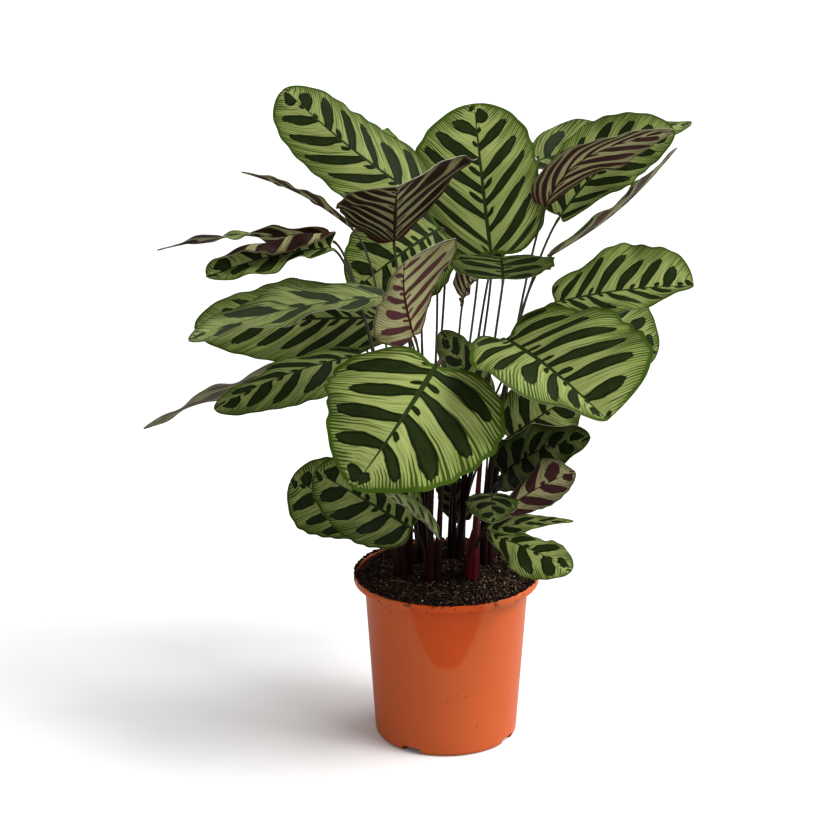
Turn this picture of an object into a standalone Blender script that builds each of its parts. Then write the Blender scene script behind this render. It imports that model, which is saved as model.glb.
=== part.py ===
"""Potted calathea: a leafy house plant in a 19 cm plastic nursery pot.

Every size is in millimetres and is turned into metres as the meshes are made.
X runs to the right, Y away from the viewer and Z up, with the origin in the
middle of the pot's flat base.
"""
import math
import random

import bmesh
import bpy
import numpy as np
from mathutils import Matrix, Vector

MM = 0.001
SEED = 19

# Pot: a 19 cm nursery pot, as sold with plants of this size.
POT_TOP_RADIUS = 95.0
POT_HEIGHT = 174.0
POT_BASE_RADIUS = 72.8
POT_NECK_RADIUS = 84.0
POT_WALL = 1.6
POT_FLOOR = 2.0
LIP_DROP = 8.0
LIP_ROUND = 2.2
BASE_FILLET = 5.0
POT_SEGMENTS = 40
FIT_GAP = 0.3

# Four drainage notches cut through the bottom corner of the pot.
NOTCH_ANGLES = (-30.0, 60.0, 150.0, 240.0)
NOTCH_WIDTH = 21.0
NOTCH_HEIGHT = 5.0
NOTCH_INNER_RADIUS = 58.0
POCKET_EXTRA = 1.5

# Potting soil, heaped a little towards the middle.
SOIL_EDGE_Z = 170.5
SOIL_HEAP = 4.5
SOIL_LUMP = 1.1
SOIL_RINGS = 6
SOIL_SEGMENTS = 40

# Each shoot stands on a short crown sunk in the soil.
CROWN_RADIUS = 11.5
CROWN_BOTTOM_Z = 150.0
CROWN_TOP_Z = 178.0
CROWN_SIDES = 12
FOOT_RING = 6.0
FOOT_Z = 160.0

# Stalks.
STALK_SIDES = 5
STALK_SHEATH = 4.2
STALK_SLIM = 1.7
STALK_END = 1.5
SMALL_SHEATH = 3.0
SMALL_SLIM = 1.4
SMALL_END = 1.2
SHEATH_SHARE = 0.45
STALK_RISE = 0.45
LONGEST_REACH = 45.0
STALK_DIP = 3.0

# Blade: thin at the margin, with a raised midrib below.
BLADE_EDGE = 0.7
BLADE_RIB = 2.4
RIB_HALF = 0.12
BASE_HALF = 1.2
BASE_STEP = 0.035
SLANT = 0.75
EAR_START = 0.15

BIG_ROWS = 10
MIDDLE_ROWS = 8
SMALL_ROWS = 6
FLAT_COLUMNS = (-1.0, -0.55, -RIB_HALF, 0.0, RIB_HALF, 0.55, 1.0)
ROLLED_COLUMNS = (-1.0, -0.75, -0.5, -0.25, 0.0, 0.25, 0.5, 0.75, 1.0)
NARROW_COLUMNS = (-1.0, -0.3, 0.0, 0.3, 1.0)
UP = np.array((0.0, 0.0, 1.0))

# Base colour, roughness and metallic value of each kind of piece.
FINISHES = {
    "pot": ((0.62, 0.13, 0.035, 1.0), 0.45, 0.0),
    "soil": ((0.012, 0.008, 0.006, 1.0), 0.95, 0.0),
    "shoot": ((0.09, 0.025, 0.02, 1.0), 0.5, 0.0),
    "leaf": ((0.10, 0.22, 0.04, 1.0), 0.4, 0.0),
}
SHARP_ANGLE = math.radians(40.0)

# Where each shoot comes out of the soil.
SHOOTS = {
    "shoot_1": (-14.0, -24.0),
    "shoot_2": (-44.0, -4.0),
    "shoot_3": (-22.0, 30.0),
    "shoot_4": (10.0, 40.0),
    "shoot_5": (40.0, 22.0),
    "shoot_6": (24.0, -16.0),
}


def leaf(shoot, base, tip, face, width, arch=8, sweep=0, fold=(4, 4), curl=(-10, -10), wave=3,
         waves=2.5, ear=0.04, full=0.86, rows=MIDDLE_ROWS, columns=FLAT_COLUMNS, reach=0.2):
    """One leaf: where its blade starts and ends, the way its upper side faces and how it bends.

    Width, fold and curl are pairs for the left and the right half. Each half has one value, or a
    tuple of values at equal steps from the blade's start to its tip.
    """
    widths = width if isinstance(width, tuple) else (width, width)
    return dict(shoot=shoot, base=base, tip=tip, face=face, width=widths, arch=arch, sweep=sweep,
                fold=fold, curl=curl, wave=wave, waves=waves, ear=ear, full=full, rows=rows,
                columns=columns, reach=reach)


LEAVES = {
    # Top of the plant, left and middle.
    "leaf_01": leaf("shoot_3", (-29, 72, 551), (-165, 127, 650), (0.15, -0.85, 0.5),
                    ((110, 102, 90, 104, 130), (120, 104, 78, 92, 98)), 14, -9, (0, -8), (-8, -20),
                    rows=BIG_ROWS),
    "leaf_02": leaf("shoot_4", (45, 80, 489), (28, 135, 633), (-0.06, -0.93, 0.3),
                    ((130, 136, 138, 156, 170), (146, 136, 116, 134, 156)), 12, curl=(-14, -16),
                    rows=BIG_ROWS),
    "leaf_03": leaf("shoot_1", (-52, -60, 539), (-47, -200, 627), (-0.1, 0.38, 0.9),
                    ((60, 110, 180, 150, 60), (70, 80, 104, 134, 150)), 6, 0,
                    (32, 4), (-8, -6), 4, rows=BIG_ROWS),
    "leaf_04": leaf("shoot_2", (-94, -10, 541), (-199, -40, 603), (0.41, 0.42, 0.81),
                    ((24, 26, 30, 30, 36), (16, 20, 24, 22, 34)), 7, 0, (6, 6), (10, 10), 2,
                    rows=SMALL_ROWS),
    "leaf_05": leaf("shoot_2", (-113, -5, 526), (-283, -35, 524), (-0.05, 0.4, 0.9),
                    ((44, 50, 60, 66, 60), (36, 60, 70, 70, 60)), 10, 0,
                    ((70, 16, 0, 0, 0), (-70, -20, 0, 0, 0)), (-10, 20), 5, ear=0.0,
                    reach=0.06),
    "leaf_06": leaf("shoot_2", (-112, -55, 531), (-229, -115, 519), (0.05, -0.25, 0.95),
                    ((24, 36, 54, 86, 92), 92), 6, 0, (14, 60), (-10, 170), 5,
                    columns=ROLLED_COLUMNS, reach=0.06),
    "leaf_07": leaf("shoot_3", (-58, 75, 423), (-256, 50, 420), (0.0, -0.75, 0.6), 92, 8, 0,
                    (4, 4), (-14, -20), 4, rows=BIG_ROWS),
    "leaf_08": leaf("shoot_2", (-61, -75, 488), (-245, -145, 465), (0.1, -0.2, 0.97), 60, 10, 0,
                    (8, 8), (5, 5), 5),
    "leaf_09": leaf("shoot_2", (-85, 10, 404), (-231, -40, 363), (0.1, -0.6, 0.8),
                    ((90, 84, 72, 70, 70), (70, 62, 52, 50, 62)), 14, 0, (0, -22)),
    "leaf_10": leaf("shoot_3", (-119, 70, 386), (-309, 30, 319), (-0.33, 0.5, 0.8), 44, 7, 0,
                    (-4, -4), (10, 10), 4, 3),
    # Middle and right.
    "leaf_11": leaf("shoot_3", (-7, 45, 525), (-95, 15, 467), (-0.3, -0.9, 0.3), 110, 10,
                    rows=BIG_ROWS, reach=0.06),
    "leaf_12": leaf("shoot_1", (-33, -90, 453), (-41, -190, 554), (-0.72, 0.47, 0.5),
                    ((40, 60, 110, 160, 180), (76, 86, 60, 48, 50)), 8, 0,
                    (-8, 8), (0, 8), 2, rows=BIG_ROWS),
    "leaf_13": leaf("shoot_6", (53, -65, 503), (52, 25, 501), (0.0, -0.1, 1.0), 104, 8,
                    curl=(-8, -8), reach=0.03),
    "leaf_14": leaf("shoot_4", (15, 12, 461), (35, 40, 482), (0.2, 0.6, 0.4), 46, 4, 0,
                    (20, 20), (8, 8), rows=SMALL_ROWS),
    "leaf_15": leaf("shoot_5", (97, 30, 552), (216, -40, 644), (-0.35, 0.6, 0.75),
                    ((30, 52, 84, 96, 50), (60, 60, 50, 42, 30)), 8, 34, (-10, 10), (0, 0), 2,
                    ear=0.0, rows=BIG_ROWS),
    "leaf_16": leaf("shoot_4", (92, 118, 577), (250, 130, 615), (0.05, -0.55, 0.83),
                    ((100, 92, 40, 28, 20), 50), 2, 0, (6, 6), (-10, -10), 5),
    "leaf_17": leaf("shoot_5", (114, 75, 529), (228, 77, 617), (0.3, -0.8, 0.5),
                    (90, (30, 46, 60, 66, 60)), 4, -14, (0, -10), (10, -10), 4),
    "leaf_18": leaf("shoot_5", (105, 58, 495), (226, 30, 611), (-0.64, 0.18, 0.74), 40, -9, 0,
                    (10, 10), (20, 20), 3, 3),
    "leaf_19": leaf("shoot_5", (106, 0, 461), (242, -20, 484), (0.0, -0.6, 0.8),
                    ((90, 74, 104, 110, 170), (60, 56, 64, 46, 30)), 6, 0,
                    (4, 10), (20, -10), 5, rows=BIG_ROWS),
    "leaf_20": leaf("shoot_4", (116, 70, 424), (216, 60, 391), (0.2, -0.8, 0.5), 100, 14, wave=4),
    # The two largest leaves, at the front.
    "leaf_21": leaf("shoot_6", (56, -65, 443), (148, -190, 401), (-0.25, -0.35, 0.9),
                    ((230, 164, 176, 206, 320), (120, 134, 150, 96, 80)), 16, 4,
                    (10, 24), (-8, 8), 6, ear=0.12, full=1.0, rows=BIG_ROWS),
    "leaf_22": leaf("shoot_1", (-11, -110, 431), (-91, -170, 326), (-0.1, -0.88, 0.45),
                    ((230, 200, 166, 140, 80), (210, 208, 184, 186, 196)), 18, -5,
                    (0, -16), (-8, -12), 4, ear=0.1, rows=BIG_ROWS),
    # Lower right.
    "leaf_23": leaf("shoot_5", (62, 15, 314), (132, 23, 361), (0.1, -0.9, 0.4), 78, 6, reach=0.06),
    "leaf_24": leaf("shoot_6", (55, -5, 282), (142, -45, 335), (-0.2, -0.45, 0.85),
                    ((72, 60, 55, 50, 60), 98), 10, 0, (44, 10), (50, 0), 4,
                    columns=ROLLED_COLUMNS),
    "leaf_25": leaf("shoot_6", (51, -80, 268), (122, -130, 330), (-0.3, 0.75, 0.4),
                    ((30, 36, 44, 46, 44), (10, 20, 30, 60, 64)), 4, 0, (-40, 20), (-10, 100), 2,
                    rows=SMALL_ROWS, columns=ROLLED_COLUMNS),
    "leaf_26": leaf("shoot_6", (41, -40, 234), (126, -60, 252), (-0.1, -0.5, 0.9),
                    ((24, 20, 18, 11, 12), (20, 30, 20, 10, 12)), 6, 0, (10, -10), (20, -10), 2,
                    rows=SMALL_ROWS),
    "leaf_27": leaf("shoot_6", (42, -60, 238), (122, -115, 221), (0.15, -0.8, 0.6),
                    ((14, 18, 30, 46, 60), (14, 32, 56, 64, 64)), 8, curl=(-14, -14),
                    rows=SMALL_ROWS),
    "leaf_28": leaf("shoot_6", (43, -95, 294), (42, -155, 286), (0.0, -0.55, 0.8), 50, 5, 0,
                    curl=(-14, -14), wave=2, rows=SMALL_ROWS),
    # Lower left.
    "leaf_29": leaf("shoot_2", (-65, 0, 225), (-158, 10, 272), (-0.1, -0.85, 0.5),
                    ((58, 64, 80, 104, 116), (84, 84, 88, 96, 106)), 6),
    "leaf_30": leaf("shoot_1", (-35, -50, 240), (-131, -60, 305), (0.1, -0.85, 0.4),
                    ((80, 82, 84, 86, 98), 98), 6),
    "leaf_31": leaf("shoot_1", (-8, -60, 235), (-61, -100, 296), (0.1, -0.5, 0.8), 24, 4, 0,
                    (10, 10), (60, 60), 2, ear=0.0, rows=SMALL_ROWS, columns=NARROW_COLUMNS),
    "leaf_32": leaf("shoot_5", (39, 10, 345), (-7, -20, 437), (0.2, -0.8, 0.5), 50, 6,
                    rows=SMALL_ROWS),
    "leaf_33": leaf("shoot_4", (18, 66, 205), (0, 78, 258), (-0.3, -0.9, 0.2), 36, 6,
                    rows=SMALL_ROWS),
    # Leaves at the back, which the photograph doesn't show.
    "leaf_34": leaf("shoot_4", (34, 150, 462), (35, 250, 547), (0.0, -0.6, 0.8), 90, 12, fold=(6, 6)),
    "leaf_35": leaf("shoot_3", (-111, 160, 389), (-228, 250, 360), (0.1, -0.5, 0.85), 72, 12, 0,
                    (8, 8), (-8, -8), 4),
    "leaf_36": leaf("shoot_5", (120, 140, 352), (202, 220, 345), (0.1, -0.5, 0.85), 84, 12, 0,
                    (8, 8), (-8, -8), 4),
    "leaf_37": leaf("shoot_3", (-30, 120, 276), (-85, 230, 256), (0.0, -0.5, 0.85), 104, 14, 0,
                    (6, 6), (-8, -8), 4),
    "leaf_38": leaf("shoot_3", (-50, 150, 560), (-123, 240, 571), (0.1, -0.5, 0.85), 74, 10, 0,
                    (6, 6), (-8, -8), 4),
    "leaf_39": leaf("shoot_4", (46, 110, 301), (42, 230, 284), (-0.1, -0.3, 0.95), 78, 12, 0,
                    (6, 6), (-8, -8), 4),
}


def unit(v):
    """The vector or vectors with a length of one."""
    v = np.asarray(v, dtype=float)
    return v / np.linalg.norm(v, axis=-1, keepdims=True)


def along_blade(values, place):
    """A smooth curve through values at equal steps from the blade's start to its tip."""
    values = np.array(values, dtype=float)
    last = len(values) - 1
    position = np.clip(place, 0.0, 1.0) * last
    index = np.minimum(position.astype(int), last - 1)
    t = position - index
    ends = (2 * values[0] - values[1], 2 * values[-1] - values[-2])
    values = np.concatenate((ends[:1], values, ends[1:]))
    a, b, c, d = (values[index + k] for k in range(4))
    return b + 0.5 * t * (c - a + t * (2 * a - 5 * b + 4 * c - d + t * (3 * (b - c) + d - a)))


def half_value(pair, v, place):
    """Value for the left or the right half, where each is a number or values along the blade."""
    left, right = (along_blade(side, place) if isinstance(side, tuple) else side for side in pair)
    return np.where(v < 0, left, right)


def outline(place, full):
    """Half width of the blade, from 0 to 1, at each place along the midrib."""
    return np.sin(np.pi * np.clip(place, 0.0, 1.0) ** full) ** 0.52


def margin_place(u):
    """How far along the blade a side vein ends that leaves the midrib at u."""
    return BASE_STEP * (1 - u) ** 2 + u + SLANT * u ** 0.7 * (1 - u) * (1 - BASE_STEP)


def leaf_axes(part):
    """Base, length, direction of the midrib, upper normal and sideways direction of a leaf."""
    base = np.array(part["base"], dtype=float)
    tip = np.array(part["tip"], dtype=float)
    length = np.linalg.norm(tip - base)
    along = (tip - base) / length
    face = np.array(part["face"], dtype=float)
    normal = unit(face - (face @ along) * along)
    return base, length, along, normal, np.cross(along, normal)


def midrib(part, place):
    """Points on the arched midrib."""
    base, length, along, normal, sideways = leaf_axes(part)
    bow = np.sin(np.pi * np.asarray(place))[..., None]
    points = base + along * (length * place)[..., None]
    return points + normal * part["arch"] * bow + sideways * part["sweep"] * bow


def leaf_point(part, u, v):
    """Points on the upper side. u is where the side vein leaves the midrib, v runs across from -1 to 1."""
    u, v = np.broadcast_arrays(np.asarray(u, dtype=float), np.asarray(v, dtype=float))
    normal0 = leaf_axes(part)[3]
    across = np.abs(v)
    side = np.where(v < 0, -1.0, 1.0)
    end = margin_place(u)
    half = 0.5 * half_value(part["width"], v, end)
    place = u + (end - u) * (0.55 * across + 0.45 * across ** 2.5)
    lobe = np.clip((across - EAR_START) / (1 - EAR_START), 0.0, 1.0)
    place = place - part["ear"] * (1 - u) ** 8 * np.sin(0.5 * np.pi * lobe)
    flat = half * outline(end, part["full"]) * across + BASE_HALF * across * (1 - u) ** 30
    step = 1e-3
    tangent = unit(midrib(part, place + step) - midrib(part, place - step))
    normal = unit(normal0 - (tangent @ normal0)[..., None] * tangent)
    outward = np.cross(tangent, normal)
    fold = np.radians(half_value(part["fold"], v, place))
    curl = np.radians(half_value(part["curl"], v, place))
    curl = np.where(np.abs(curl) < 1e-4, 1e-4, curl)
    turn = fold + curl * flat / half
    sideways = (np.sin(turn) - np.sin(fold)) / curl * half
    rise = -(np.cos(turn) - np.cos(fold)) / curl * half
    point = midrib(part, place) + outward * (side * sideways)[..., None] + normal * rise[..., None]
    local = normal * np.cos(turn)[..., None] - outward * (side * np.sin(turn))[..., None]
    phase = 2 * np.pi * part["waves"] * place + np.where(v < 0, 2.1, 0.0)
    ripple = part["wave"] * across ** 2 * np.sin(phase)
    ripple = ripple * np.sin(np.pi * np.clip(place, 0.0, 1.0))
    return point + local * ripple[..., None]


def leaf_normal(part, u, v):
    """Unit normals of the upper side."""
    step = 0.01
    u = np.clip(u, 0.0, 0.97)
    du = leaf_point(part, u + step, v) - leaf_point(part, np.maximum(u - step, 0.0), v)
    dv = leaf_point(part, u, np.minimum(v + step, 1.0)) - leaf_point(part, u, np.maximum(v - step, -1.0))
    return unit(np.cross(dv, du))


def blade_thickness(u, v):
    """Blade thickness: thin, with a midrib that tapers towards the tip."""
    rib = BLADE_EDGE + (BLADE_RIB - BLADE_EDGE) * (1 - 0.7 * u)
    near = np.clip(1 - np.abs(v) / RIB_HALF, 0.0, 1.0)
    return BLADE_EDGE + (rib - BLADE_EDGE) * near


def new_object(name, mesh_name, bm, kind):
    """Turn a bmesh into a named object with its own material."""
    bmesh.ops.recalc_face_normals(bm, faces=bm.faces)
    mesh = bpy.data.meshes.new(mesh_name)
    bm.to_mesh(mesh)
    bm.free()
    obj = bpy.data.objects.new(name, mesh)
    bpy.context.scene.collection.objects.link(obj)
    if kind is not None:
        colour, roughness, metallic = FINISHES[kind]
        material = bpy.data.materials.new(name + "_material")
        material.use_nodes = True
        shader = material.node_tree.nodes["Principled BSDF"]
        shader.inputs["Base Color"].default_value = colour
        shader.inputs["Roughness"].default_value = roughness
        shader.inputs["Metallic"].default_value = metallic
        mesh.materials.append(material)
    return obj


def place(obj, origin, parent):
    """Shade a finished piece smooth, give it its own origin and hang it under its parent."""
    obj.data.shade_smooth()
    obj.data.set_sharp_from_angle(angle=SHARP_ANGLE)
    origin = Vector(origin) * MM
    obj.data.transform(Matrix.Translation(-origin))
    obj.parent = parent
    obj.location = origin - parent.location


def make_blade(name, part):
    """A closed thin blade whose two faces are split into triangles alike."""
    rows = np.linspace(0.0, 1.0, part["rows"] + 1)[:-1]
    columns = np.array(part["columns"])
    u, v = np.meshgrid(rows, columns, indexing="ij")
    top = leaf_point(part, u, v)
    bottom = top - leaf_normal(part, u, v) * blade_thickness(u, v)[..., None]
    tip_top = leaf_point(part, 1.0, 0.0)
    tip_bottom = tip_top - leaf_normal(part, np.array(0.97), np.array(0.0)) * BLADE_EDGE
    bm = bmesh.new()
    upper = [[bm.verts.new(p * MM) for p in row] for row in top]
    lower = [[bm.verts.new(p * MM) for p in row] for row in bottom]
    tips = (bm.verts.new(tip_top * MM), bm.verts.new(tip_bottom * MM))
    count = len(columns)
    for layer, tip_vert in ((upper, tips[0]), (lower, tips[1])):
        for i in range(len(rows) - 1):
            for j in range(count - 1):
                a, b = layer[i][j], layer[i][j + 1]
                c, d = layer[i + 1][j + 1], layer[i + 1][j]
                if columns[j] < 0:
                    bm.faces.new((a, b, c))
                    bm.faces.new((a, c, d))
                else:
                    bm.faces.new((a, b, d))
                    bm.faces.new((b, c, d))
        for j in range(count - 1):
            bm.faces.new((layer[-1][j], layer[-1][j + 1], tip_vert))
    rim_upper = upper[0] + [row[-1] for row in upper[1:]] + [tips[0]] + [row[0] for row in upper[:0:-1]]
    rim_lower = lower[0] + [row[-1] for row in lower[1:]] + [tips[1]] + [row[0] for row in lower[:0:-1]]
    for k in range(len(rim_upper)):
        n = (k + 1) % len(rim_upper)
        bm.faces.new((rim_upper[k], rim_upper[n], rim_lower[n]))
        bm.faces.new((rim_upper[k], rim_lower[n], rim_lower[k]))
    return new_object(name, name, bm, "leaf")


def is_small(part):
    """Small leaves have thinner stalks."""
    return part["rows"] == SMALL_ROWS


def stalk_route(part, foot, count):
    """Centre line of a stalk and its directions, from its foot up to the start of the blade."""
    axes = leaf_axes(part)
    base, normal = axes[0], axes[3]
    start = np.array((foot[0], foot[1], FOOT_Z))
    arrive = unit(midrib(part, np.array(0.03)) - midrib(part, np.array(0.0)))
    end = base - arrive * FIT_GAP - normal * 0.5 * BLADE_RIB
    distance = np.linalg.norm(end - start)
    rise = start + np.array((0.0, 0.0, STALK_RISE * distance))
    near = end - arrive * min(LONGEST_REACH, part["reach"] * distance) - normal * STALK_DIP
    s = np.linspace(0.0, 1.0, count + 1)[:, None]
    route = (1 - s) ** 3 * start + 3 * (1 - s) ** 2 * s * rise + 3 * (1 - s) * s ** 2 * near + s ** 3 * end
    heading = (1 - s) ** 2 * (rise - start) + 2 * (1 - s) * s * (near - rise) + s ** 2 * (end - near)
    return route, unit(heading)


def make_tube(route, tangents, radii, sides):
    """A closed tube around a route."""
    bm = bmesh.new()
    reference = np.array((1.0, 0.0, 0.0))
    rings = []
    for point, tangent, radius in zip(route, tangents, radii):
        first = unit(reference - (reference @ tangent) * tangent)
        second = np.cross(tangent, first)
        reference = first
        ring = []
        for k in range(sides):
            angle = 2 * math.pi * k / sides
            offset = first * math.cos(angle) + second * math.sin(angle)
            ring.append(bm.verts.new((point + offset * radius) * MM))
        rings.append(ring)
    for a, b in zip(rings, rings[1:]):
        for k in range(sides):
            n = (k + 1) % sides
            bm.faces.new((a[k], a[n], b[n], b[k]))
    bm.faces.new(rings[0][::-1])
    bm.faces.new(rings[-1])
    return bm


def fuse(target, others):
    """Join overlapping bodies into one with a Boolean union and remove the loose ones."""
    group = bpy.data.collections.new(target.name + "_pieces")
    for obj in others:
        bpy.context.scene.collection.objects.unlink(obj)
        group.objects.link(obj)
    bpy.context.scene.collection.children.link(group)
    union = target.modifiers.new("union", "BOOLEAN")
    union.operation = "UNION"
    union.solver = "EXACT"
    union.operand_type = "COLLECTION"
    union.collection = group
    union.use_self = True
    apply_modifiers(target)
    for obj in others:
        bpy.data.objects.remove(obj, do_unlink=True)
    bpy.data.collections.remove(group)


def apply_modifiers(obj):
    """Replace the object's mesh by the mesh that its modifiers give."""
    depsgraph = bpy.context.evaluated_depsgraph_get()
    depsgraph.update()
    mesh = bpy.data.meshes.new_from_object(obj.evaluated_get(depsgraph))
    old = obj.data
    obj.modifiers.clear()
    obj.data = mesh
    mesh.name = obj.name
    bpy.data.meshes.remove(old)


def stalk_feet(name):
    """Foot of every stalk in one shoot, set around the crown in the order that the leaves stand."""
    centre = np.array(SHOOTS[name])
    members = [key for key, part in LEAVES.items() if part["shoot"] == name]
    bearings = {}
    for key in members:
        base = np.array(LEAVES[key]["base"][:2], dtype=float)
        bearings[key] = math.atan2(base[1] - centre[1], base[0] - centre[0])
    members.sort(key=lambda key: bearings[key])
    northing = sum(math.sin(bearings[key]) for key in members)
    easting = sum(math.cos(bearings[key]) for key in members)
    mean = math.atan2(northing, easting)
    members.sort(key=lambda key: (bearings[key] - mean + math.pi) % (2 * math.pi))
    feet = {}
    for index, key in enumerate(members):
        angle = mean + 2 * math.pi * ((index + 0.5) / len(members) - 0.5)
        feet[key] = centre + FOOT_RING * np.array((math.cos(angle), math.sin(angle)))
    return feet


def make_shoot(name):
    """The stalks of one shoot, fused with the crown that they grow from."""
    feet = stalk_feet(name)
    pieces = []
    for key, foot in feet.items():
        part = LEAVES[key]
        count = 5 if is_small(part) else 7
        route, headings = stalk_route(part, foot, count)
        s = np.linspace(0.0, 1.0, count + 1)
        sheath, slim, end = (SMALL_SHEATH, SMALL_SLIM, SMALL_END) if is_small(part) else (
            STALK_SHEATH, STALK_SLIM, STALK_END)
        radii = slim + (sheath - slim) * np.clip(1 - s / SHEATH_SHARE, 0.0, 1.0)
        radii[-1] = end
        tube = make_tube(route, headings, radii, STALK_SIDES)
        pieces.append(new_object(key + "_stalk", key + "_stalk", tube, None))
    x, y = SHOOTS[name]
    crown_route = np.array(((x, y, CROWN_BOTTOM_Z), (x, y, CROWN_TOP_Z)))
    crown = make_tube(crown_route, (UP, UP), (CROWN_RADIUS, CROWN_RADIUS), CROWN_SIDES)
    obj = new_object(name, name, crown, "shoot")
    fuse(obj, pieces)
    return obj


def lathe(name, profile, segments, kind):
    """Closed body of revolution; the profile starts and ends on the axis."""
    bm = bmesh.new()
    first = bm.verts.new((0.0, 0.0, profile[0][1] * MM))
    last = bm.verts.new((0.0, 0.0, profile[-1][1] * MM))
    rings = []
    for radius, height in profile[1:-1]:
        ring = []
        for k in range(segments):
            angle = 2 * math.pi * k / segments
            x, y = radius * math.cos(angle), radius * math.sin(angle)
            ring.append(bm.verts.new((x * MM, y * MM, height * MM)))
        rings.append(ring)
    for k in range(segments):
        n = (k + 1) % segments
        bm.faces.new((first, rings[0][n], rings[0][k]))
        bm.faces.new((last, rings[-1][k], rings[-1][n]))
        for a, b in zip(rings, rings[1:]):
            bm.faces.new((a[k], a[n], b[n], b[k]))
    return new_object(name, name, bm, kind)


def wall_radius(height):
    """Outer radius of the tapered wall."""
    share = height / (POT_HEIGHT - LIP_DROP)
    return POT_BASE_RADIUS + (POT_NECK_RADIUS - POT_BASE_RADIUS) * share


def pot_profile():
    """Half section of the pot, from the middle of its base round the lip to the middle of its floor."""
    points = [(0.0, 0.0)]
    for step in range(4):
        angle = math.radians(30.0 * step)
        radius = wall_radius(BASE_FILLET) - BASE_FILLET * (1 - math.sin(angle))
        points.append((radius, BASE_FILLET * (1 - math.cos(angle))))
    neck_z = POT_HEIGHT - LIP_DROP
    points.append((wall_radius(neck_z), neck_z))
    points.append((POT_TOP_RADIUS - 1.2, neck_z + 0.3))
    points.append((POT_TOP_RADIUS, neck_z + LIP_ROUND))
    points.append((POT_TOP_RADIUS, POT_HEIGHT - LIP_ROUND))
    points.append((POT_TOP_RADIUS - 0.6, POT_HEIGHT - 0.5))
    points.append((POT_TOP_RADIUS - POT_WALL, POT_HEIGHT))
    points.append((POT_TOP_RADIUS - 2 * POT_WALL, POT_HEIGHT - 0.5))
    points.append((POT_TOP_RADIUS - 2 * POT_WALL, neck_z + POT_WALL))
    points.append((wall_radius(neck_z) - POT_WALL, neck_z + POT_WALL))
    points.append((wall_radius(POT_FLOOR + 4.0) - POT_WALL, POT_FLOOR + 4.0))
    points.append((wall_radius(POT_FLOOR) - POT_WALL - 4.0, POT_FLOOR))
    points.append((0.0, POT_FLOOR))
    return points


def cut(target, cutters, solver):
    """Cut bodies out of the target, one after another, and remove the cutters."""
    for cutter in cutters:
        cutter.hide_render = True
        cutter.display_type = "WIRE"
        hole = target.modifiers.new("cut", "BOOLEAN")
        hole.operation = "DIFFERENCE"
        hole.solver = solver
        hole.object = cutter
    apply_modifiers(target)
    for cutter in cutters:
        bpy.data.objects.remove(cutter, do_unlink=True)


def box_cutter(angle, inner, outer, width, low, high):
    """A box that lies along a radius. The angle is measured from the front towards the right."""
    bm = bmesh.new()
    turn = math.radians(angle)
    out = np.array((math.sin(turn), -math.cos(turn), 0.0))
    side = np.array((math.cos(turn), math.sin(turn), 0.0))
    corners = []
    for z in (low, high):
        for r, w in ((inner, -0.5), (outer, -0.5), (outer, 0.5), (inner, 0.5)):
            corners.append(bm.verts.new((out * r + side * w * width + np.array((0.0, 0.0, z))) * MM))
    for face in ((0, 3, 2, 1), (4, 5, 6, 7), (0, 1, 5, 4), (1, 2, 6, 5), (2, 3, 7, 6), (3, 0, 4, 7)):
        bm.faces.new([corners[k] for k in face])
    return new_object("cutter", "cutter", bm, None)


def make_pot():
    """The pot with its four drainage notches."""
    pot = lathe("pot", pot_profile(), POT_SEGMENTS, "pot")
    cutters = []
    for angle in NOTCH_ANGLES:
        cutters.append(box_cutter(angle, NOTCH_INNER_RADIUS, POT_TOP_RADIUS, NOTCH_WIDTH,
                                  -2.0, NOTCH_HEIGHT))
    cut(pot, cutters, "EXACT")
    return pot


def make_soil():
    """The soil that fills the pot, with a plain hole for each crown."""
    rng = random.Random(SEED)
    neck_z = POT_HEIGHT - LIP_DROP
    gap = POT_WALL + FIT_GAP
    edge = POT_TOP_RADIUS - 2 * POT_WALL - FIT_GAP
    profile = [(0.0, POT_FLOOR + FIT_GAP)]
    profile.append((wall_radius(POT_FLOOR) - gap - 4.2, POT_FLOOR + FIT_GAP))
    profile.append((wall_radius(POT_FLOOR + 4.0) - gap - 0.1, POT_FLOOR + 4.2))
    profile.append((wall_radius(neck_z) - gap - 0.1, neck_z + POT_WALL + FIT_GAP))
    profile.append((edge, neck_z + POT_WALL + FIT_GAP))
    for ring in range(SOIL_RINGS):
        radius = edge * (1 - ring / SOIL_RINGS)
        profile.append((radius, SOIL_EDGE_Z + SOIL_HEAP * (1 - (radius / edge) ** 2)))
    profile.append((0.0, SOIL_EDGE_Z + SOIL_HEAP))
    soil = lathe("soil", profile, SOIL_SEGMENTS, "soil")
    for vert in soil.data.vertices:
        radius = math.hypot(vert.co.x, vert.co.y) / MM
        if vert.co.z / MM > SOIL_EDGE_Z + 0.2 and radius > 1.0:
            vert.co.z += rng.uniform(-SOIL_LUMP, SOIL_LUMP) * MM
    cutters = []
    for x, y in SHOOTS.values():
        route = np.array(((x, y, CROWN_BOTTOM_Z - FIT_GAP), (x, y, POT_HEIGHT + 20.0)))
        radius = (CROWN_RADIUS + FIT_GAP) / math.cos(math.pi / CROWN_SIDES)
        hole = make_tube(route, (UP, UP), (radius, radius), CROWN_SIDES)
        cutters.append(new_object("cutter", "cutter", hole, None))
    for angle in NOTCH_ANGLES:
        cutters.append(box_cutter(angle, NOTCH_INNER_RADIUS - POCKET_EXTRA, POT_TOP_RADIUS,
                                  NOTCH_WIDTH + 2 * POCKET_EXTRA, -2.0, NOTCH_HEIGHT + POCKET_EXTRA))
    # The exact solver leaves an open edge where a lump of soil meets the side of a hole.
    cut(soil, cutters, "MANIFOLD")
    return soil


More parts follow.
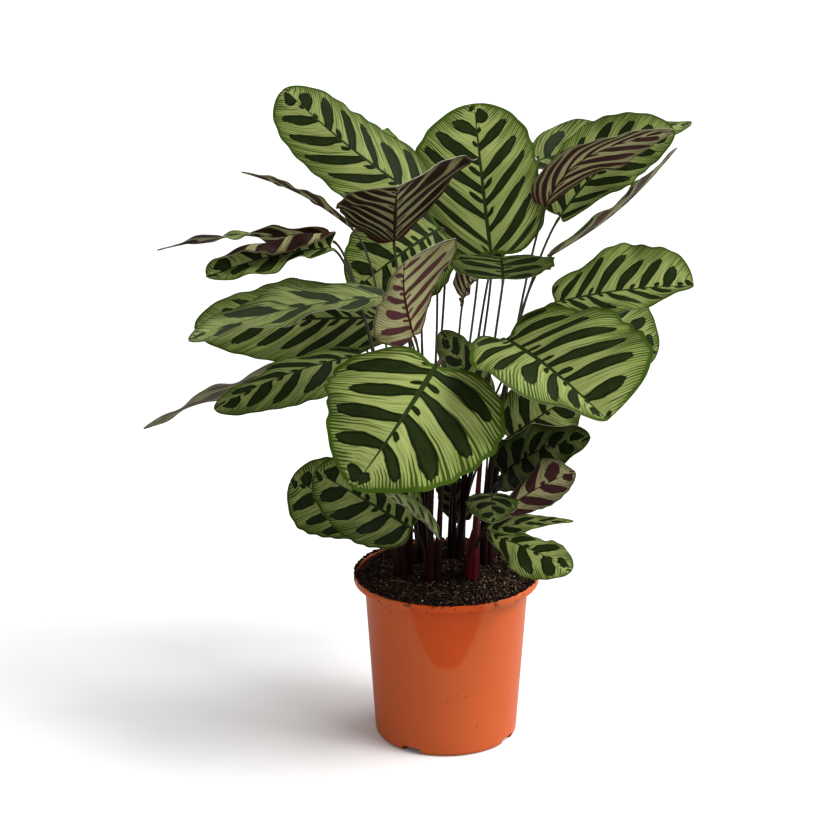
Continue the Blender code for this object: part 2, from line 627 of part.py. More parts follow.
def main():
    """Build every node of the plant."""
    for obj in list(bpy.data.objects):
        bpy.data.objects.remove(obj, do_unlink=True)
    scene = bpy.context.scene
    scene.unit_settings.system = "METRIC"
    scene.unit_settings.scale_length = 1.0
    whole = bpy.data.objects.new("plant", None)
    scene.collection.objects.link(whole)
    place(make_pot(), (0.0, 0.0, 0.0), whole)
    place(make_soil(), (0.0, 0.0, SOIL_EDGE_Z), whole)
    for name, (x, y) in SHOOTS.items():
        place(make_shoot(name), (x, y, CROWN_TOP_Z), whole)
    for name, part in LEAVES.items():
        place(make_blade(name, part), part["base"], whole)


main()
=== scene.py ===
# %% [markdown]
# # A potted calathea
# The plant stands in a plastic nursery pot. Its looks come from broad, thin leaves whose side veins
# carry the whole pattern: long dark blotches, pale bands between them and a green margin. So most of
# this lesson is about one leaf surface, which is made once as a formula and used for every leaf, and
# about one pattern that follows that surface.
#
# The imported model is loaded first. It fixes where everything is, and each piece made below stands
# where its own solid stands.

import math
import random

import bmesh
import bpy
import numpy as np
from mathutils import Matrix, Vector, noise


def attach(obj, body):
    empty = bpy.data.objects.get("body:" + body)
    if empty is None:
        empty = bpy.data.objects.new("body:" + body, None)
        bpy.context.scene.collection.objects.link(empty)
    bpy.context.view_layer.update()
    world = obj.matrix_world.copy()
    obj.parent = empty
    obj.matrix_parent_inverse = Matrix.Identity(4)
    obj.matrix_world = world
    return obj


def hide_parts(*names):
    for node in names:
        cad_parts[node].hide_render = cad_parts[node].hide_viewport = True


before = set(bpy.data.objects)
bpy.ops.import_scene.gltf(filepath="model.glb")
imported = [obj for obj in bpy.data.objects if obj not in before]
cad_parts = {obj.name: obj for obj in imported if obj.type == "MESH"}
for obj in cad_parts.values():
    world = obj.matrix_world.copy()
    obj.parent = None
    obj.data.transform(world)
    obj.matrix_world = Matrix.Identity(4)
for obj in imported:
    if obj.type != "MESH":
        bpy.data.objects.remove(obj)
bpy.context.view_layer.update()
MM = 0.001

# %% [markdown]
# ## Camera
# The pot's lip shows as a flat ellipse, so the camera looks down on it. Its height, its distance and
# its long lens follow from that ellipse and from the narrower base.

# %% Camera
CAMERA_PLACE = (-0.027, -2.600, 1.205)
CAMERA_DOWN = 18.44      # degrees below the horizon
CAMERA_LENS = 116.8      # mm, on a sensor 36 mm wide
camera_data = bpy.data.cameras.new("camera")
camera_data.lens = CAMERA_LENS
camera_data.sensor_width = 36.0
camera_data.clip_end = 60.0
camera = bpy.data.objects.new("camera", camera_data)
camera.location = CAMERA_PLACE
camera.rotation_euler = (math.radians(90.0 - CAMERA_DOWN), 0.0, 0.0)
bpy.context.scene.collection.objects.link(camera)
bpy.context.scene.camera = camera
bpy.context.scene.view_settings.view_transform = "Standard"
print("camera:", CAMERA_PLACE, "looking", CAMERA_DOWN, "degrees down")

# %% [markdown]
# ## Light
# The light in a product photo is large and soft. Sun lamps light the whole floor alike. The main one
# is made very wide, so that its shadow is soft, and stands on the right, so that the shadow runs off
# to the left. A narrower one draws the shadows of the leaves on each other. A soft box adds the
# highlights, and a white card on the left and a white world fill the rest.


# %% Light
def add_lamp(name, kind, place, target, energy):
    """A lamp that faces its target."""
    data = bpy.data.lights.new(name, kind)
    data.energy = energy
    lamp = bpy.data.objects.new(name, data)
    lamp.location = place
    lamp.rotation_euler = (Vector(target) - Vector(place)).to_track_quat("-Z", "Y").to_euler()
    bpy.context.scene.collection.objects.link(lamp)
    return data


MIDDLE = (0.0, 0.0, 0.35)
wide_sun = add_lamp("wide_sun", "SUN", (2.5, 0.55, 2.7), MIDDLE, 2.7)
wide_sun.angle = math.radians(68)
narrow_sun = add_lamp("narrow_sun", "SUN", (2.1, -0.8, 2.9), MIDDLE, 1.7)
narrow_sun.angle = math.radians(24)
soft_box = add_lamp("soft_box", "AREA", (1.7, -1.7, 1.2), MIDDLE, 15.0)
soft_box.shape = "RECTANGLE"
soft_box.size = 0.5
soft_box.size_y = 1.2
white_card = add_lamp("white_card", "AREA", (-2.0, -2.2, 0.9), MIDDLE, 10.0)
white_card.size = 1.2
world = bpy.data.worlds.new("world")
world.use_nodes = True
world.node_tree.nodes["Background"].inputs["Color"].default_value = (1.0, 1.0, 1.0, 1.0)
world.node_tree.nodes["Background"].inputs["Strength"].default_value = 0.36
bpy.context.scene.world = world
print("light: two suns, a soft box, a white card and a white world")

# %% [markdown]
# ## Floor
# The floor is one wide disc, white to the edge of the picture. A real white floor would throw so much
# light up that the undersides of the leaves lose their depth. A studio hides it under dark cloth just
# outside the picture. Here the paint is simply greyer for bounced light than for the eye.

# %% Floor
FLOOR_RADIUS = 14.0
SEEN_WHITE = (0.99, 0.99, 0.99, 1.0)
BOUNCED_GREY = (0.50, 0.50, 0.50, 1.0)
MIX_BELOW = 6            # numbers of the colour sockets of a Mix node
MIX_ABOVE = 7
MIX_RESULT = 2
bm = bmesh.new()
bmesh.ops.create_circle(bm, cap_ends=True, segments=96, radius=FLOOR_RADIUS)
floor_mesh = bpy.data.meshes.new("floor")
bm.to_mesh(floor_mesh)
bm.free()
floor = bpy.data.objects.new("floor", floor_mesh)
bpy.context.scene.collection.objects.link(floor)
floor_paint = bpy.data.materials.new("floor_paint")
floor_paint.use_nodes = True
floor_shader = floor_paint.node_tree.nodes["Principled BSDF"]
floor_shader.inputs["Roughness"].default_value = 0.9
floor_shader.inputs["Specular IOR Level"].default_value = 0.1
seen = floor_paint.node_tree.nodes.new("ShaderNodeLightPath").outputs["Is Camera Ray"]
white = floor_paint.node_tree.nodes.new("ShaderNodeMix")
white.data_type = "RGBA"
white.inputs[MIX_BELOW].default_value = BOUNCED_GREY
white.inputs[MIX_ABOVE].default_value = SEEN_WHITE
floor_paint.node_tree.links.new(seen, white.inputs[0])
floor_paint.node_tree.links.new(white.outputs[MIX_RESULT], floor_shader.inputs["Base Color"])
floor_mesh.materials.append(floor_paint)
print("floor: radius", FLOOR_RADIUS, "m")

# %% [markdown]
# ## Small helpers for materials
# A pattern that is worked out with Math nodes needs many of them. These helpers add one node, feed it
# with sockets or plain numbers, and hand back its result, so that a formula can be read as a formula.


# %% Numbers and colours
def feed(tree, socket, value):
    """Link a socket, or set a plain value."""
    if isinstance(value, bpy.types.NodeSocket):
        tree.links.new(value, socket)
    else:
        socket.default_value = value


def calc(tree, operation, *values, clamp=False):
    """The result of one Math node."""
    node = tree.nodes.new("ShaderNodeMath")
    node.operation = operation
    node.use_clamp = clamp
    for socket, value in zip(node.inputs, values):
        feed(tree, socket, value)
    return node.outputs[0]


def ease(tree, value, start, end, low=0.0, high=1.0):
    """Go smoothly from low to high while the value goes from start to end."""
    node = tree.nodes.new("ShaderNodeMapRange")
    node.interpolation_type = "SMOOTHSTEP"
    feed(tree, node.inputs["Value"], value)
    feed(tree, node.inputs["From Min"], start)
    feed(tree, node.inputs["From Max"], end)
    feed(tree, node.inputs["To Min"], low)
    feed(tree, node.inputs["To Max"], high)
    return node.outputs["Result"]


def paint(tree, factor, below, above):
    """Lay one colour over another by a mask."""
    node = tree.nodes.new("ShaderNodeMix")
    node.data_type = "RGBA"
    feed(tree, node.inputs[0], factor)
    feed(tree, node.inputs[MIX_BELOW], below)
    feed(tree, node.inputs[MIX_ABOVE], above)
    return node.outputs[MIX_RESULT]


print("helpers for numbers and colours: feed, calc, ease and paint")

# %% [markdown]
# ### Noise and maps
# Noise and random numbers make each mark a little different. A map of the mesh, or the point on the
# object, says where the pattern stands. The relief turns a height into a bump of the surface.


# %% Noise and maps
def speckle(tree, vector, scale, detail=2.0, roughness=0.5):
    """Soft noise between 0 and 1."""
    node = tree.nodes.new("ShaderNodeTexNoise")
    feed(tree, node.inputs["Vector"], vector)
    node.inputs["Scale"].default_value = scale
    node.inputs["Detail"].default_value = detail
    node.inputs["Roughness"].default_value = roughness
    return node.outputs["Fac"]


def chance(tree, whole, shift):
    """A random number between 0 and 1 for each whole number, where another shift is another draw."""
    node = tree.nodes.new("ShaderNodeTexWhiteNoise")
    node.noise_dimensions = "1D"
    feed(tree, node.inputs["W"], calc(tree, "ADD", whole, shift))
    return node.outputs["Value"]


def stack(tree, x, y, z=0.0):
    """A vector from three numbers."""
    node = tree.nodes.new("ShaderNodeCombineXYZ")
    feed(tree, node.inputs[0], x)
    feed(tree, node.inputs[1], y)
    feed(tree, node.inputs[2], z)
    return node.outputs[0]


def parts_of(tree, vector):
    """The three numbers of a vector."""
    node = tree.nodes.new("ShaderNodeSeparateXYZ")
    feed(tree, node.inputs[0], vector)
    return node.outputs[0], node.outputs[1], node.outputs[2]


def relief(tree, height, depth, strength=1.0):
    """Turn a height into a bump, with its depth in metres."""
    node = tree.nodes.new("ShaderNodeBump")
    node.inputs["Strength"].default_value = strength
    node.inputs["Distance"].default_value = depth
    feed(tree, node.inputs["Height"], height)
    return node.outputs["Normal"]


def uv_map(tree, name):
    """A named UV map as a vector."""
    node = tree.nodes.new("ShaderNodeUVMap")
    node.uv_map = name
    return node.outputs[0]


def object_point(tree):
    """The point in the object's own coordinates, in metres."""
    return tree.nodes.new("ShaderNodeTexCoord").outputs["Object"]


print("helpers for noise, random numbers, vectors, relief and maps")

# %% [markdown]
# ### Materials and groups
# A material starts with its Principled shader. A group holds a pattern that several materials share.


# %% Materials and groups
def new_material(name):
    """A material and its Principled shader."""
    material = bpy.data.materials.new(name)
    material.use_nodes = True
    return material, material.node_tree, material.node_tree.nodes["Principled BSDF"]


def new_group(name, inputs, outputs):
    """An empty shader group with its sockets: float by default, vector where the name ends in a star."""
    group = bpy.data.node_groups.new(name, "ShaderNodeTree")
    for label in inputs:
        kind = "NodeSocketVector" if label.endswith("*") else "NodeSocketFloat"
        group.interface.new_socket(label.rstrip("*"), in_out="INPUT", socket_type=kind)
    for label in outputs:
        group.interface.new_socket(label, in_out="OUTPUT", socket_type="NodeSocketFloat")
    enter = group.nodes.new("NodeGroupInput")
    leave = group.nodes.new("NodeGroupOutput")
    return group, enter.outputs, leave.inputs


def use_group(tree, group, **values):
    """Place a group in a material and feed it."""
    node = tree.nodes.new("ShaderNodeGroup")
    node.node_tree = group
    for label, value in values.items():
        feed(tree, node.inputs[label.replace("_", " ")], value)
    return node.outputs


print("helpers for materials and shared groups")

# %% [markdown]
# ## The pattern of a leaf
# On the real leaf every mark follows the side veins. The mesh therefore carries two maps. The map
# "place" says where on the blade a point lies: how far along the midrib its side vein leaves, and how
# far across it is. The map "marks" counts the blotches along the leaf, so that each whole number is
# one blotch, and gives the distance to the margin. With those, a blotch is a paddle in a cell, a vein
# is a line at a given count that broadens towards the margin, and the margin is a small distance. One
# group works this out as masks, and both sides of the leaf use it with their own colours.

# %% Leaf pattern
LINES = 9.0              # dark lines from one blotch to the next
leaf_marks, given, result = new_group(
    "leaf_marks", ["Place*", "Marks*", "Blotch Width", "Blotch Length", "Line Reach"],
    ["Blotch", "Heart", "Vein", "Streak", "Margin", "Rib", "Cloud", "Height", "Along", "Across"])
tree = leaf_marks


def times(tree, value, factor, more=0.0, clamp=False):
    """The value times a factor, plus some more."""
    return calc(tree, "MULTIPLY_ADD", value, factor, more, clamp=clamp)


def veins_noise(tree, count, across, fine, long, detail=2.0):
    """Noise that is drawn out along the side veins, around 0."""
    where = stack(tree, times(tree, count, fine), times(tree, across, long))
    return calc(tree, "SUBTRACT", speckle(tree, where, 1.0, detail), 0.5)


along, across_map = parts_of(tree, given["Place"])[:2]
count, edge = parts_of(tree, given["Marks"])[:2]
across = calc(tree, "ABSOLUTE", times(tree, across_map, 2.0, -1.0))
wander = veins_noise(tree, count, across, 0.9, 1.8)
count = times(tree, wander, 0.22, count)
ragged = veins_noise(tree, count, across, 13.0, 5.0, 3.0)
print("leaf pattern:", LINES, "lines from blotch to blotch")

# %% [markdown]
# ### Blotches
# A blotch is slim at the midrib, widest near its far end and blunt there. In each cell of the count
# stands one, and a random number for each whole count makes some of them wider or longer. Between two
# of them there is often a small drop. Both are the same paddle in other sizes, so one function serves.

# %% Blotches
BLUNT_FROM = 0.62        # share of a blotch's length where its end begins to round off
DROP_SHIFT = 0.44        # share of the spacing between a blotch and the drop beside it
NO_DROP = 0.25           # share of the drops that are left out


def paddle(tree, count, across, width, length, ragged):
    """Distance to a paddle in each cell of the count: slim at the midrib and blunt at its far end."""
    cell = calc(tree, "ABSOLUTE", calc(tree, "SUBTRACT", calc(tree, "FRACT", count), 0.5))
    reach = calc(tree, "DIVIDE", times(tree, ragged, 0.10, across), length)
    spread = ease(tree, reach, 0.0, 0.50, 0.55, 1.0)
    steep = 1 / (1 - BLUNT_FROM)
    blunt = calc(tree, "POWER", times(tree, reach, steep, -BLUNT_FROM * steep, clamp=True), 2.2)
    end = calc(tree, "SQRT", calc(tree, "SUBTRACT", 1.0, blunt, clamp=True))
    half = calc(tree, "MULTIPLY", calc(tree, "MULTIPLY", width, spread), end)
    closed = ease(tree, reach, 0.97, 1.03, 0.0, 0.5)
    return calc(tree, "ADD", calc(tree, "SUBTRACT", cell, half), closed)


whole = calc(tree, "FLOOR", count)
luck = chance(tree, whole, 0.31)
more_luck = chance(tree, whole, 7.77)
shorter = ease(tree, along, 0.72, 1.0, 1.0, 0.55)
width = calc(tree, "MULTIPLY", given["Blotch Width"], times(tree, luck, 0.30, 0.85))
length = calc(tree, "MULTIPLY", given["Blotch Length"], times(tree, more_luck, 0.22, 0.86))
length = calc(tree, "MULTIPLY", length, shorter)
large = times(tree, ragged, 0.09, paddle(tree, count, across, width, length, ragged))
between = calc(tree, "ADD", count, DROP_SHIFT)
drop_luck = chance(tree, calc(tree, "FLOOR", between), 3.13)
drop_width = times(tree, drop_luck, 0.05, 0.080)
drop_length = times(tree, drop_luck, 0.13, 0.09)
drop = paddle(tree, between, across, drop_width, drop_length, ragged)
drop = calc(tree, "ADD", drop, ease(tree, drop_luck, NO_DROP + 0.02, NO_DROP - 0.02, 0.0, 0.5))
nearest = calc(tree, "MINIMUM", large, drop)
blotch = ease(tree, nearest, 0.022, -0.022)
heart = ease(tree, nearest, -0.03, -0.13)
print("blotches:", len(tree.nodes), "nodes so far")

# %% [markdown]
# ### Fine lines
# Thin dark lines run between the blotches. Each starts at its own distance from the midrib, grows on
# its way out and flares where it meets the green margin. Paler streaks, too fine to be drawn one by
# one, are noise that is drawn out along the veins.

# %% Fine lines
LINE_HALF = 0.19         # half width of a grown line, as a share of the lines' spacing
FLARE_HALF = 0.24        # half width that its end gains at the margin
line_count = calc(tree, "MULTIPLY", count, LINES)
line = calc(tree, "ROUND", line_count)
line_side = calc(tree, "ABSOLUTE", calc(tree, "SUBTRACT", line_count, line))
line_luck = chance(tree, line, 0.47)
more_line_luck = chance(tree, line, 5.19)
line_start = times(tree, line_luck, 0.66, 0.02)
grown = ease(tree, calc(tree, "SUBTRACT", across, line_start), 0.0, 0.30, 0.0, LINE_HALF)
grown = calc(tree, "MULTIPLY", grown, times(tree, more_line_luck, 0.9, 0.4))
reach = calc(tree, "MULTIPLY", given["Line Reach"], times(tree, more_line_luck, 1.5, 0.45))
near_edge = calc(tree, "SUBTRACT", 1.0, calc(tree, "DIVIDE", edge, reach), clamp=True)
flare = calc(tree, "MULTIPLY", calc(tree, "POWER", near_edge, 1.6), FLARE_HALF)
half_line = calc(tree, "ADD", grown, flare)
vein = ease(tree, line_side, calc(tree, "ADD", half_line, 0.05), calc(tree, "SUBTRACT", half_line, 0.07))
vein = calc(tree, "MULTIPLY", vein, ease(tree, half_line, 0.0, 0.06))
streak = veins_noise(tree, count, across, 17.0, 1.9, 4.0)
streak = times(tree, streak, 1.9, 0.5, clamp=True)
print("fine lines:", len(tree.nodes), "nodes so far")

# %% [markdown]
# ### Margin, rib and relief
# The margin and the rib are plain distances with a soft edge. The relief adds up what a finger would
# feel: the pleats between the side veins, the fine grain along them, blotches that stand a little
# proud and the rib that lies in a groove.

# %% Margin, rib and relief
cloud = times(tree, veins_noise(tree, count, across, 3.0, 5.0, 3.0), 1.3, 0.5, clamp=True)
edge_wander = times(tree, cloud, 0.038, 0.013)
margin = ease(tree, edge, calc(tree, "ADD", edge_wander, 0.034), edge_wander)
rib_half = times(tree, along, -0.013, 0.026)
rib = ease(tree, across, calc(tree, "ADD", rib_half, 0.014), rib_half)
pleat = calc(tree, "COSINE", times(tree, line_count, 2 * math.pi))
grain = veins_noise(tree, count, across, 40.0, 90.0)
height = times(tree, pleat, 0.16, times(tree, streak, 0.35))
height = times(tree, grain, 0.25, height)
height = times(tree, blotch, 0.30, height)
height = times(tree, rib, -0.8, height)
for label, value in (("Blotch", blotch), ("Heart", heart), ("Vein", vein), ("Streak", streak),
                     ("Margin", margin), ("Rib", rib), ("Cloud", cloud), ("Height", height),
                     ("Along", along), ("Across", across)):
    feed(tree, result[label], value)
print("leaf pattern:", len(tree.nodes), "nodes")

# %% [markdown]
# ## The upper side
# The bands are yellow-green, the blotches a deep green with a darker rim, and the surface shines like
# satin. No two leaves are alike, so each carries a third map, "tone". Its second number turns the colour
# grey or, below zero, darkens the leaf with painted shade where it lies in the shade of others.

# %% Upper side
BLOTCH_WIDTH = 0.25      # half width, as a share of the blotches' spacing
BLOTCH_LENGTH = 0.86     # share of the way from the midrib to the margin
LINE_REACH = 0.26        # how far the flared lines run in, as a share of a half
BAND_SHADE = (0.165, 0.215, 0.036, 1.0)
BAND_LIGHT = (0.470, 0.535, 0.190, 1.0)
OUTER_BAND = (0.190, 0.270, 0.042, 1.0)
LINE_GREEN = (0.030, 0.056, 0.006, 1.0)
BLOTCH_RIM = (0.007, 0.012, 0.002, 1.0)
BLOTCH_DARK = (0.010, 0.018, 0.004, 1.0)
BLOTCH_LIGHT = (0.025, 0.039, 0.009, 1.0)
MARGIN_GREEN = (0.052, 0.094, 0.008, 1.0)
RIB_GREEN = (0.023, 0.040, 0.009, 1.0)
GREYED = (0.085, 0.105, 0.070, 1.0)
PAINTED_SHADE_TOP = (0.002, 0.005, 0.001, 1.0)


def leaf_masks(tree, blotch_width, blotch_length, line_reach):
    """The pattern group, fed with the maps of the mesh."""
    return use_group(tree, leaf_marks, Place=uv_map(tree, "place"), Marks=uv_map(tree, "marks"),
                     Blotch_Width=blotch_width, Blotch_Length=blotch_length, Line_Reach=line_reach)


def make_leaf_top():
    """The upper side."""
    material, tree, shader = new_material("leaf_top")
    grey_and_shade = parts_of(tree, uv_map(tree, "tone"))[1]
    masks = leaf_masks(tree, times(tree, grey_and_shade, -0.07, BLOTCH_WIDTH), BLOTCH_LENGTH, LINE_REACH)
    band = paint(tree, masks["Streak"], BAND_SHADE, BAND_LIGHT)
    band = paint(tree, ease(tree, masks["Across"], 0.50, 1.0, 0.0, 0.50), band, OUTER_BAND)
    colour = paint(tree, calc(tree, "MULTIPLY", masks["Vein"], 0.92), band, LINE_GREEN)
    deep = paint(tree, masks["Cloud"], BLOTCH_DARK, BLOTCH_LIGHT)
    deep = paint(tree, masks["Heart"], BLOTCH_RIM, deep)
    colour = paint(tree, masks["Blotch"], colour, deep)
    colour = paint(tree, masks["Margin"], colour, MARGIN_GREEN)
    colour = paint(tree, masks["Rib"], colour, RIB_GREEN)
    colour = paint(tree, times(tree, grey_and_shade, 0.60), colour, GREYED)
    # Below zero, the second number of tone darkens the leaf with painted shade.
    colour = paint(tree, times(tree, grey_and_shade, -0.75), colour, PAINTED_SHADE_TOP)
    feed(tree, shader.inputs["Base Color"], colour)
    feed(tree, shader.inputs["Roughness"], ease(tree, masks["Cloud"], 0.2, 0.8, 0.34, 0.46))
    shader.inputs["Specular IOR Level"].default_value = 0.04
    feed(tree, shader.inputs["Normal"], relief(tree, masks["Height"], 0.0006, 0.6))
    return material


LEAF_TOP = make_leaf_top()
print("upper side:", len(LEAF_TOP.node_tree.nodes), "nodes")

# %% [markdown]
# ## The underside and the edge
# Below, the same blotches are brown or maroon on cream, and the blade's foot and its rib are dark red.
# The first number of "tone" says how far the brown marks have grown into full stripes. The cut edge
# is a thin pale line.

# %% Underside and edge
CREAM_SHADE = (0.210, 0.200, 0.075, 1.0)
CREAM_LIGHT = (0.520, 0.500, 0.260, 1.0)
OUTER_CREAM = (0.140, 0.150, 0.055, 1.0)
LINE_OLIVE = (0.070, 0.060, 0.022, 1.0)
MAROON_DARK = (0.060, 0.018, 0.020, 1.0)
MAROON_LIGHT = (0.105, 0.036, 0.040, 1.0)
BROWN_DARK = (0.009, 0.003, 0.0015, 1.0)
BROWN_LIGHT = (0.026, 0.008, 0.005, 1.0)
MARGIN_BROWN = (0.055, 0.045, 0.018, 1.0)
FOOT_RED = (0.065, 0.007, 0.006, 1.0)
RIB_RED = (0.040, 0.008, 0.007, 1.0)
GREYED_UNDER = (0.170, 0.165, 0.120, 1.0)
PAINTED_SHADE_UNDER = (0.006, 0.003, 0.001, 1.0)
EDGE_SHADE = (0.140, 0.110, 0.080, 1.0)
EDGE_LIGHT = (0.330, 0.310, 0.200, 1.0)


def make_leaf_under():
    """The underside."""
    material, tree, shader = new_material("leaf_under")
    stripe, grey_and_shade = parts_of(tree, uv_map(tree, "tone"))[:2]
    masks = leaf_masks(tree, times(tree, stripe, 0.12, 0.24), times(tree, stripe, 0.35, 0.84), 0.16)
    band = paint(tree, masks["Streak"], CREAM_SHADE, CREAM_LIGHT)
    band = paint(tree, ease(tree, masks["Across"], 0.45, 1.0, 0.0, 0.45), band, OUTER_CREAM)
    colour = paint(tree, times(tree, masks["Vein"], 0.80), band, LINE_OLIVE)
    maroon = paint(tree, masks["Cloud"], MAROON_DARK, MAROON_LIGHT)
    brown = paint(tree, masks["Cloud"], BROWN_DARK, BROWN_LIGHT)
    colour = paint(tree, masks["Blotch"], colour, paint(tree, stripe, maroon, brown))
    colour = paint(tree, calc(tree, "MULTIPLY", masks["Margin"], 0.8), colour, MARGIN_BROWN)
    foot = ease(tree, masks["Along"], 0.10, 0.0)
    foot = calc(tree, "MULTIPLY", foot, times(tree, stripe, 0.65, 0.15))
    colour = paint(tree, foot, colour, FOOT_RED)
    colour = paint(tree, masks["Rib"], colour, RIB_RED)
    colour = paint(tree, times(tree, grey_and_shade, 0.50), colour, GREYED_UNDER)
    # Below zero, the second number of tone darkens the underside with painted shade.
    colour = paint(tree, times(tree, grey_and_shade, -0.75), colour, PAINTED_SHADE_UNDER)
    feed(tree, shader.inputs["Base Color"], colour)
    feed(tree, shader.inputs["Roughness"], ease(tree, masks["Cloud"], 0.2, 0.8, 0.42, 0.56))
    shader.inputs["Specular IOR Level"].default_value = 0.04
    feed(tree, shader.inputs["Normal"], relief(tree, masks["Height"], -0.0005, 0.5))
    return material


def make_leaf_edge():
    """The thin pale line of the margin."""
    material, tree, shader = new_material("leaf_edge")
    masks = leaf_masks(tree, BLOTCH_WIDTH, BLOTCH_LENGTH, LINE_REACH)
    colour = paint(tree, masks["Cloud"], EDGE_SHADE, EDGE_LIGHT)
    feed(tree, shader.inputs["Base Color"], colour)
    shader.inputs["Roughness"].default_value = 0.5
    return material


LEAF_UNDER = make_leaf_under()
LEAF_EDGE = make_leaf_edge()
print("underside:", len(LEAF_UNDER.node_tree.nodes), "nodes, edge:", len(LEAF_EDGE.node_tree.nodes))

# %% [markdown]
# ## Where each leaf is
# A leaf is told by a few things that a gardener could point at: where its blade starts and ends, the
# way its upper side faces, how wide its two halves are and how it bends. "arch" and "sweep" are how
# far the midrib bows upwards and sideways. "fold" is how steeply a half rises from the midrib and
# "curl" how much it bends on its way to the margin, in degrees. "wave" is the height of the margin's
# waves and "waves" their number. "ear" is how far the lobes reach back beside the stalk, and a
# smaller "full" moves the widest place towards the stalk. "reach" is how long the stalk runs in line
# with the midrib, as a share of its way, and "size" picks its thickness. The last few values are
# about the pattern: how many blotches there are and where they start, how much the rows of blotches
# lean towards the tip, and the tone. Where a half has several values, they follow each other at
# equal steps from the blade's start to its tip. Lengths are in millimetres.

# %% Shoots and the words for a leaf
CROWNS = {
    "shoot_1": (-14.0, -24.0),
    "shoot_2": (-44.0, -4.0),
    "shoot_3": (-22.0, 30.0),
    "shoot_4": (10.0, 40.0),
    "shoot_5": (40.0, 22.0),
    "shoot_6": (24.0, -16.0),
}


def leaf(shoot, base, tip, face, width, arch=8, sweep=0, fold=(4, 4), curl=(-10, -10), wave=3,
         waves=2.5, ear=0.04, full=0.86, reach=0.2, size="middle", blotches=5.0, start=(0.1, 0.6),
         lean=0.05, tone=(0.4, 0.0)):
    """One leaf, in the words of the text above."""
    widths = width if isinstance(width, tuple) else (width, width)
    leans = lean if isinstance(lean, tuple) else (lean, lean)
    return dict(shoot=shoot, base=base, tip=tip, face=face, width=widths, arch=arch, sweep=sweep,
                fold=fold, curl=curl, wave=wave, waves=waves, ear=ear, full=full, reach=reach,
                size=size, blotches=blotches, start=start, lean=leans, tone=tone)


print("shoots:", len(CROWNS))

# %% [markdown]
# ### Leaves at the top and on the left
# These rise highest or reach furthest to the left. Several turn their brown undersides to the front.

# %% Leaves at the top and on the left
LEAVES = {
    "leaf_01": leaf("shoot_3", (-29, 72, 551), (-165, 127, 650), (0.15, -0.85, 0.5),
                    ((110, 102, 90, 104, 130), (120, 104, 78, 92, 98)), 14, -9, (0, -8), (-8, -20),
                    size="big", blotches=5.8, lean=0.15, tone=(0.4, -0.45)),
    "leaf_02": leaf("shoot_4", (45, 80, 489), (28, 135, 633), (-0.06, -0.93, 0.3),
                    ((130, 136, 138, 156, 170), (146, 136, 116, 134, 156)), 12, curl=(-14, -16),
                    size="big", blotches=5.4, lean=0.35, tone=(0.4, -0.15)),
    "leaf_03": leaf("shoot_1", (-52, -60, 539), (-47, -200, 627), (-0.1, 0.38, 0.9),
                    ((60, 110, 180, 150, 60), (70, 80, 104, 134, 150)), 6, 0, (32, 4), (-8, -6), 4,
                    size="big", blotches=6.4, lean=(0.1, 0.6), tone=(1.0, -0.3)),
    "leaf_04": leaf("shoot_2", (-94, -10, 541), (-199, -40, 603), (0.41, 0.42, 0.81),
                    ((24, 26, 30, 30, 36), (16, 20, 24, 22, 34)), 7, 0, (6, 6), (10, 10), 2,
                    size="small", blotches=4.0, tone=(0.6, 0.3)),
    "leaf_05": leaf("shoot_2", (-113, -5, 526), (-283, -35, 524), (-0.05, 0.4, 0.9),
                    ((44, 50, 60, 66, 60), (36, 60, 70, 70, 60)), 10, 0, ((70, 16, 0, 0, 0),
                    (-70, -20, 0, 0, 0)), (-10, 20), 5, ear=0.0, reach=0.06, blotches=4.0,
                    tone=(1.0, -0.35)),
    "leaf_06": leaf("shoot_2", (-112, -55, 531), (-229, -115, 519), (0.05, -0.25, 0.95),
                    ((24, 36, 54, 86, 92), 92), 6, 0, (14, 60), (-10, 170), 5, reach=0.06, blotches=4.5,
                    tone=(1.0, -0.35)),
    "leaf_07": leaf("shoot_3", (-58, 75, 423), (-256, 50, 420), (0.0, -0.75, 0.6), 92, 8, 0, (4, 4),
                    (-14, -20), 4, size="big", blotches=6.5, lean=0.2, tone=(0.4, -0.56)),
    "leaf_08": leaf("shoot_2", (-61, -75, 488), (-245, -145, 465), (0.1, -0.2, 0.97), 60, 10, 0, (8, 8),
                    (5, 5), 5, blotches=3.0, tone=(0.4, 0.5)),
    "leaf_09": leaf("shoot_2", (-85, 10, 404), (-231, -40, 363), (0.1, -0.6, 0.8),
                    ((90, 84, 72, 70, 70), (70, 62, 52, 50, 62)), 14, 0, (0, -22), blotches=5.0,
                    lean=0.1, tone=(0.4, -0.6)),
    "leaf_10": leaf("shoot_3", (-119, 70, 386), (-309, 30, 319), (-0.33, 0.5, 0.8), 44, 7, 0, (-4, -4),
                    (10, 10), 4, 3, blotches=3.0, tone=(0.2, 0.9)),
}
print("leaves:", len(LEAVES))

# %% [markdown]
# ### Leaves in the middle and on the right
# Here too some undersides show, and a few leaves are seen nearly from their edge.

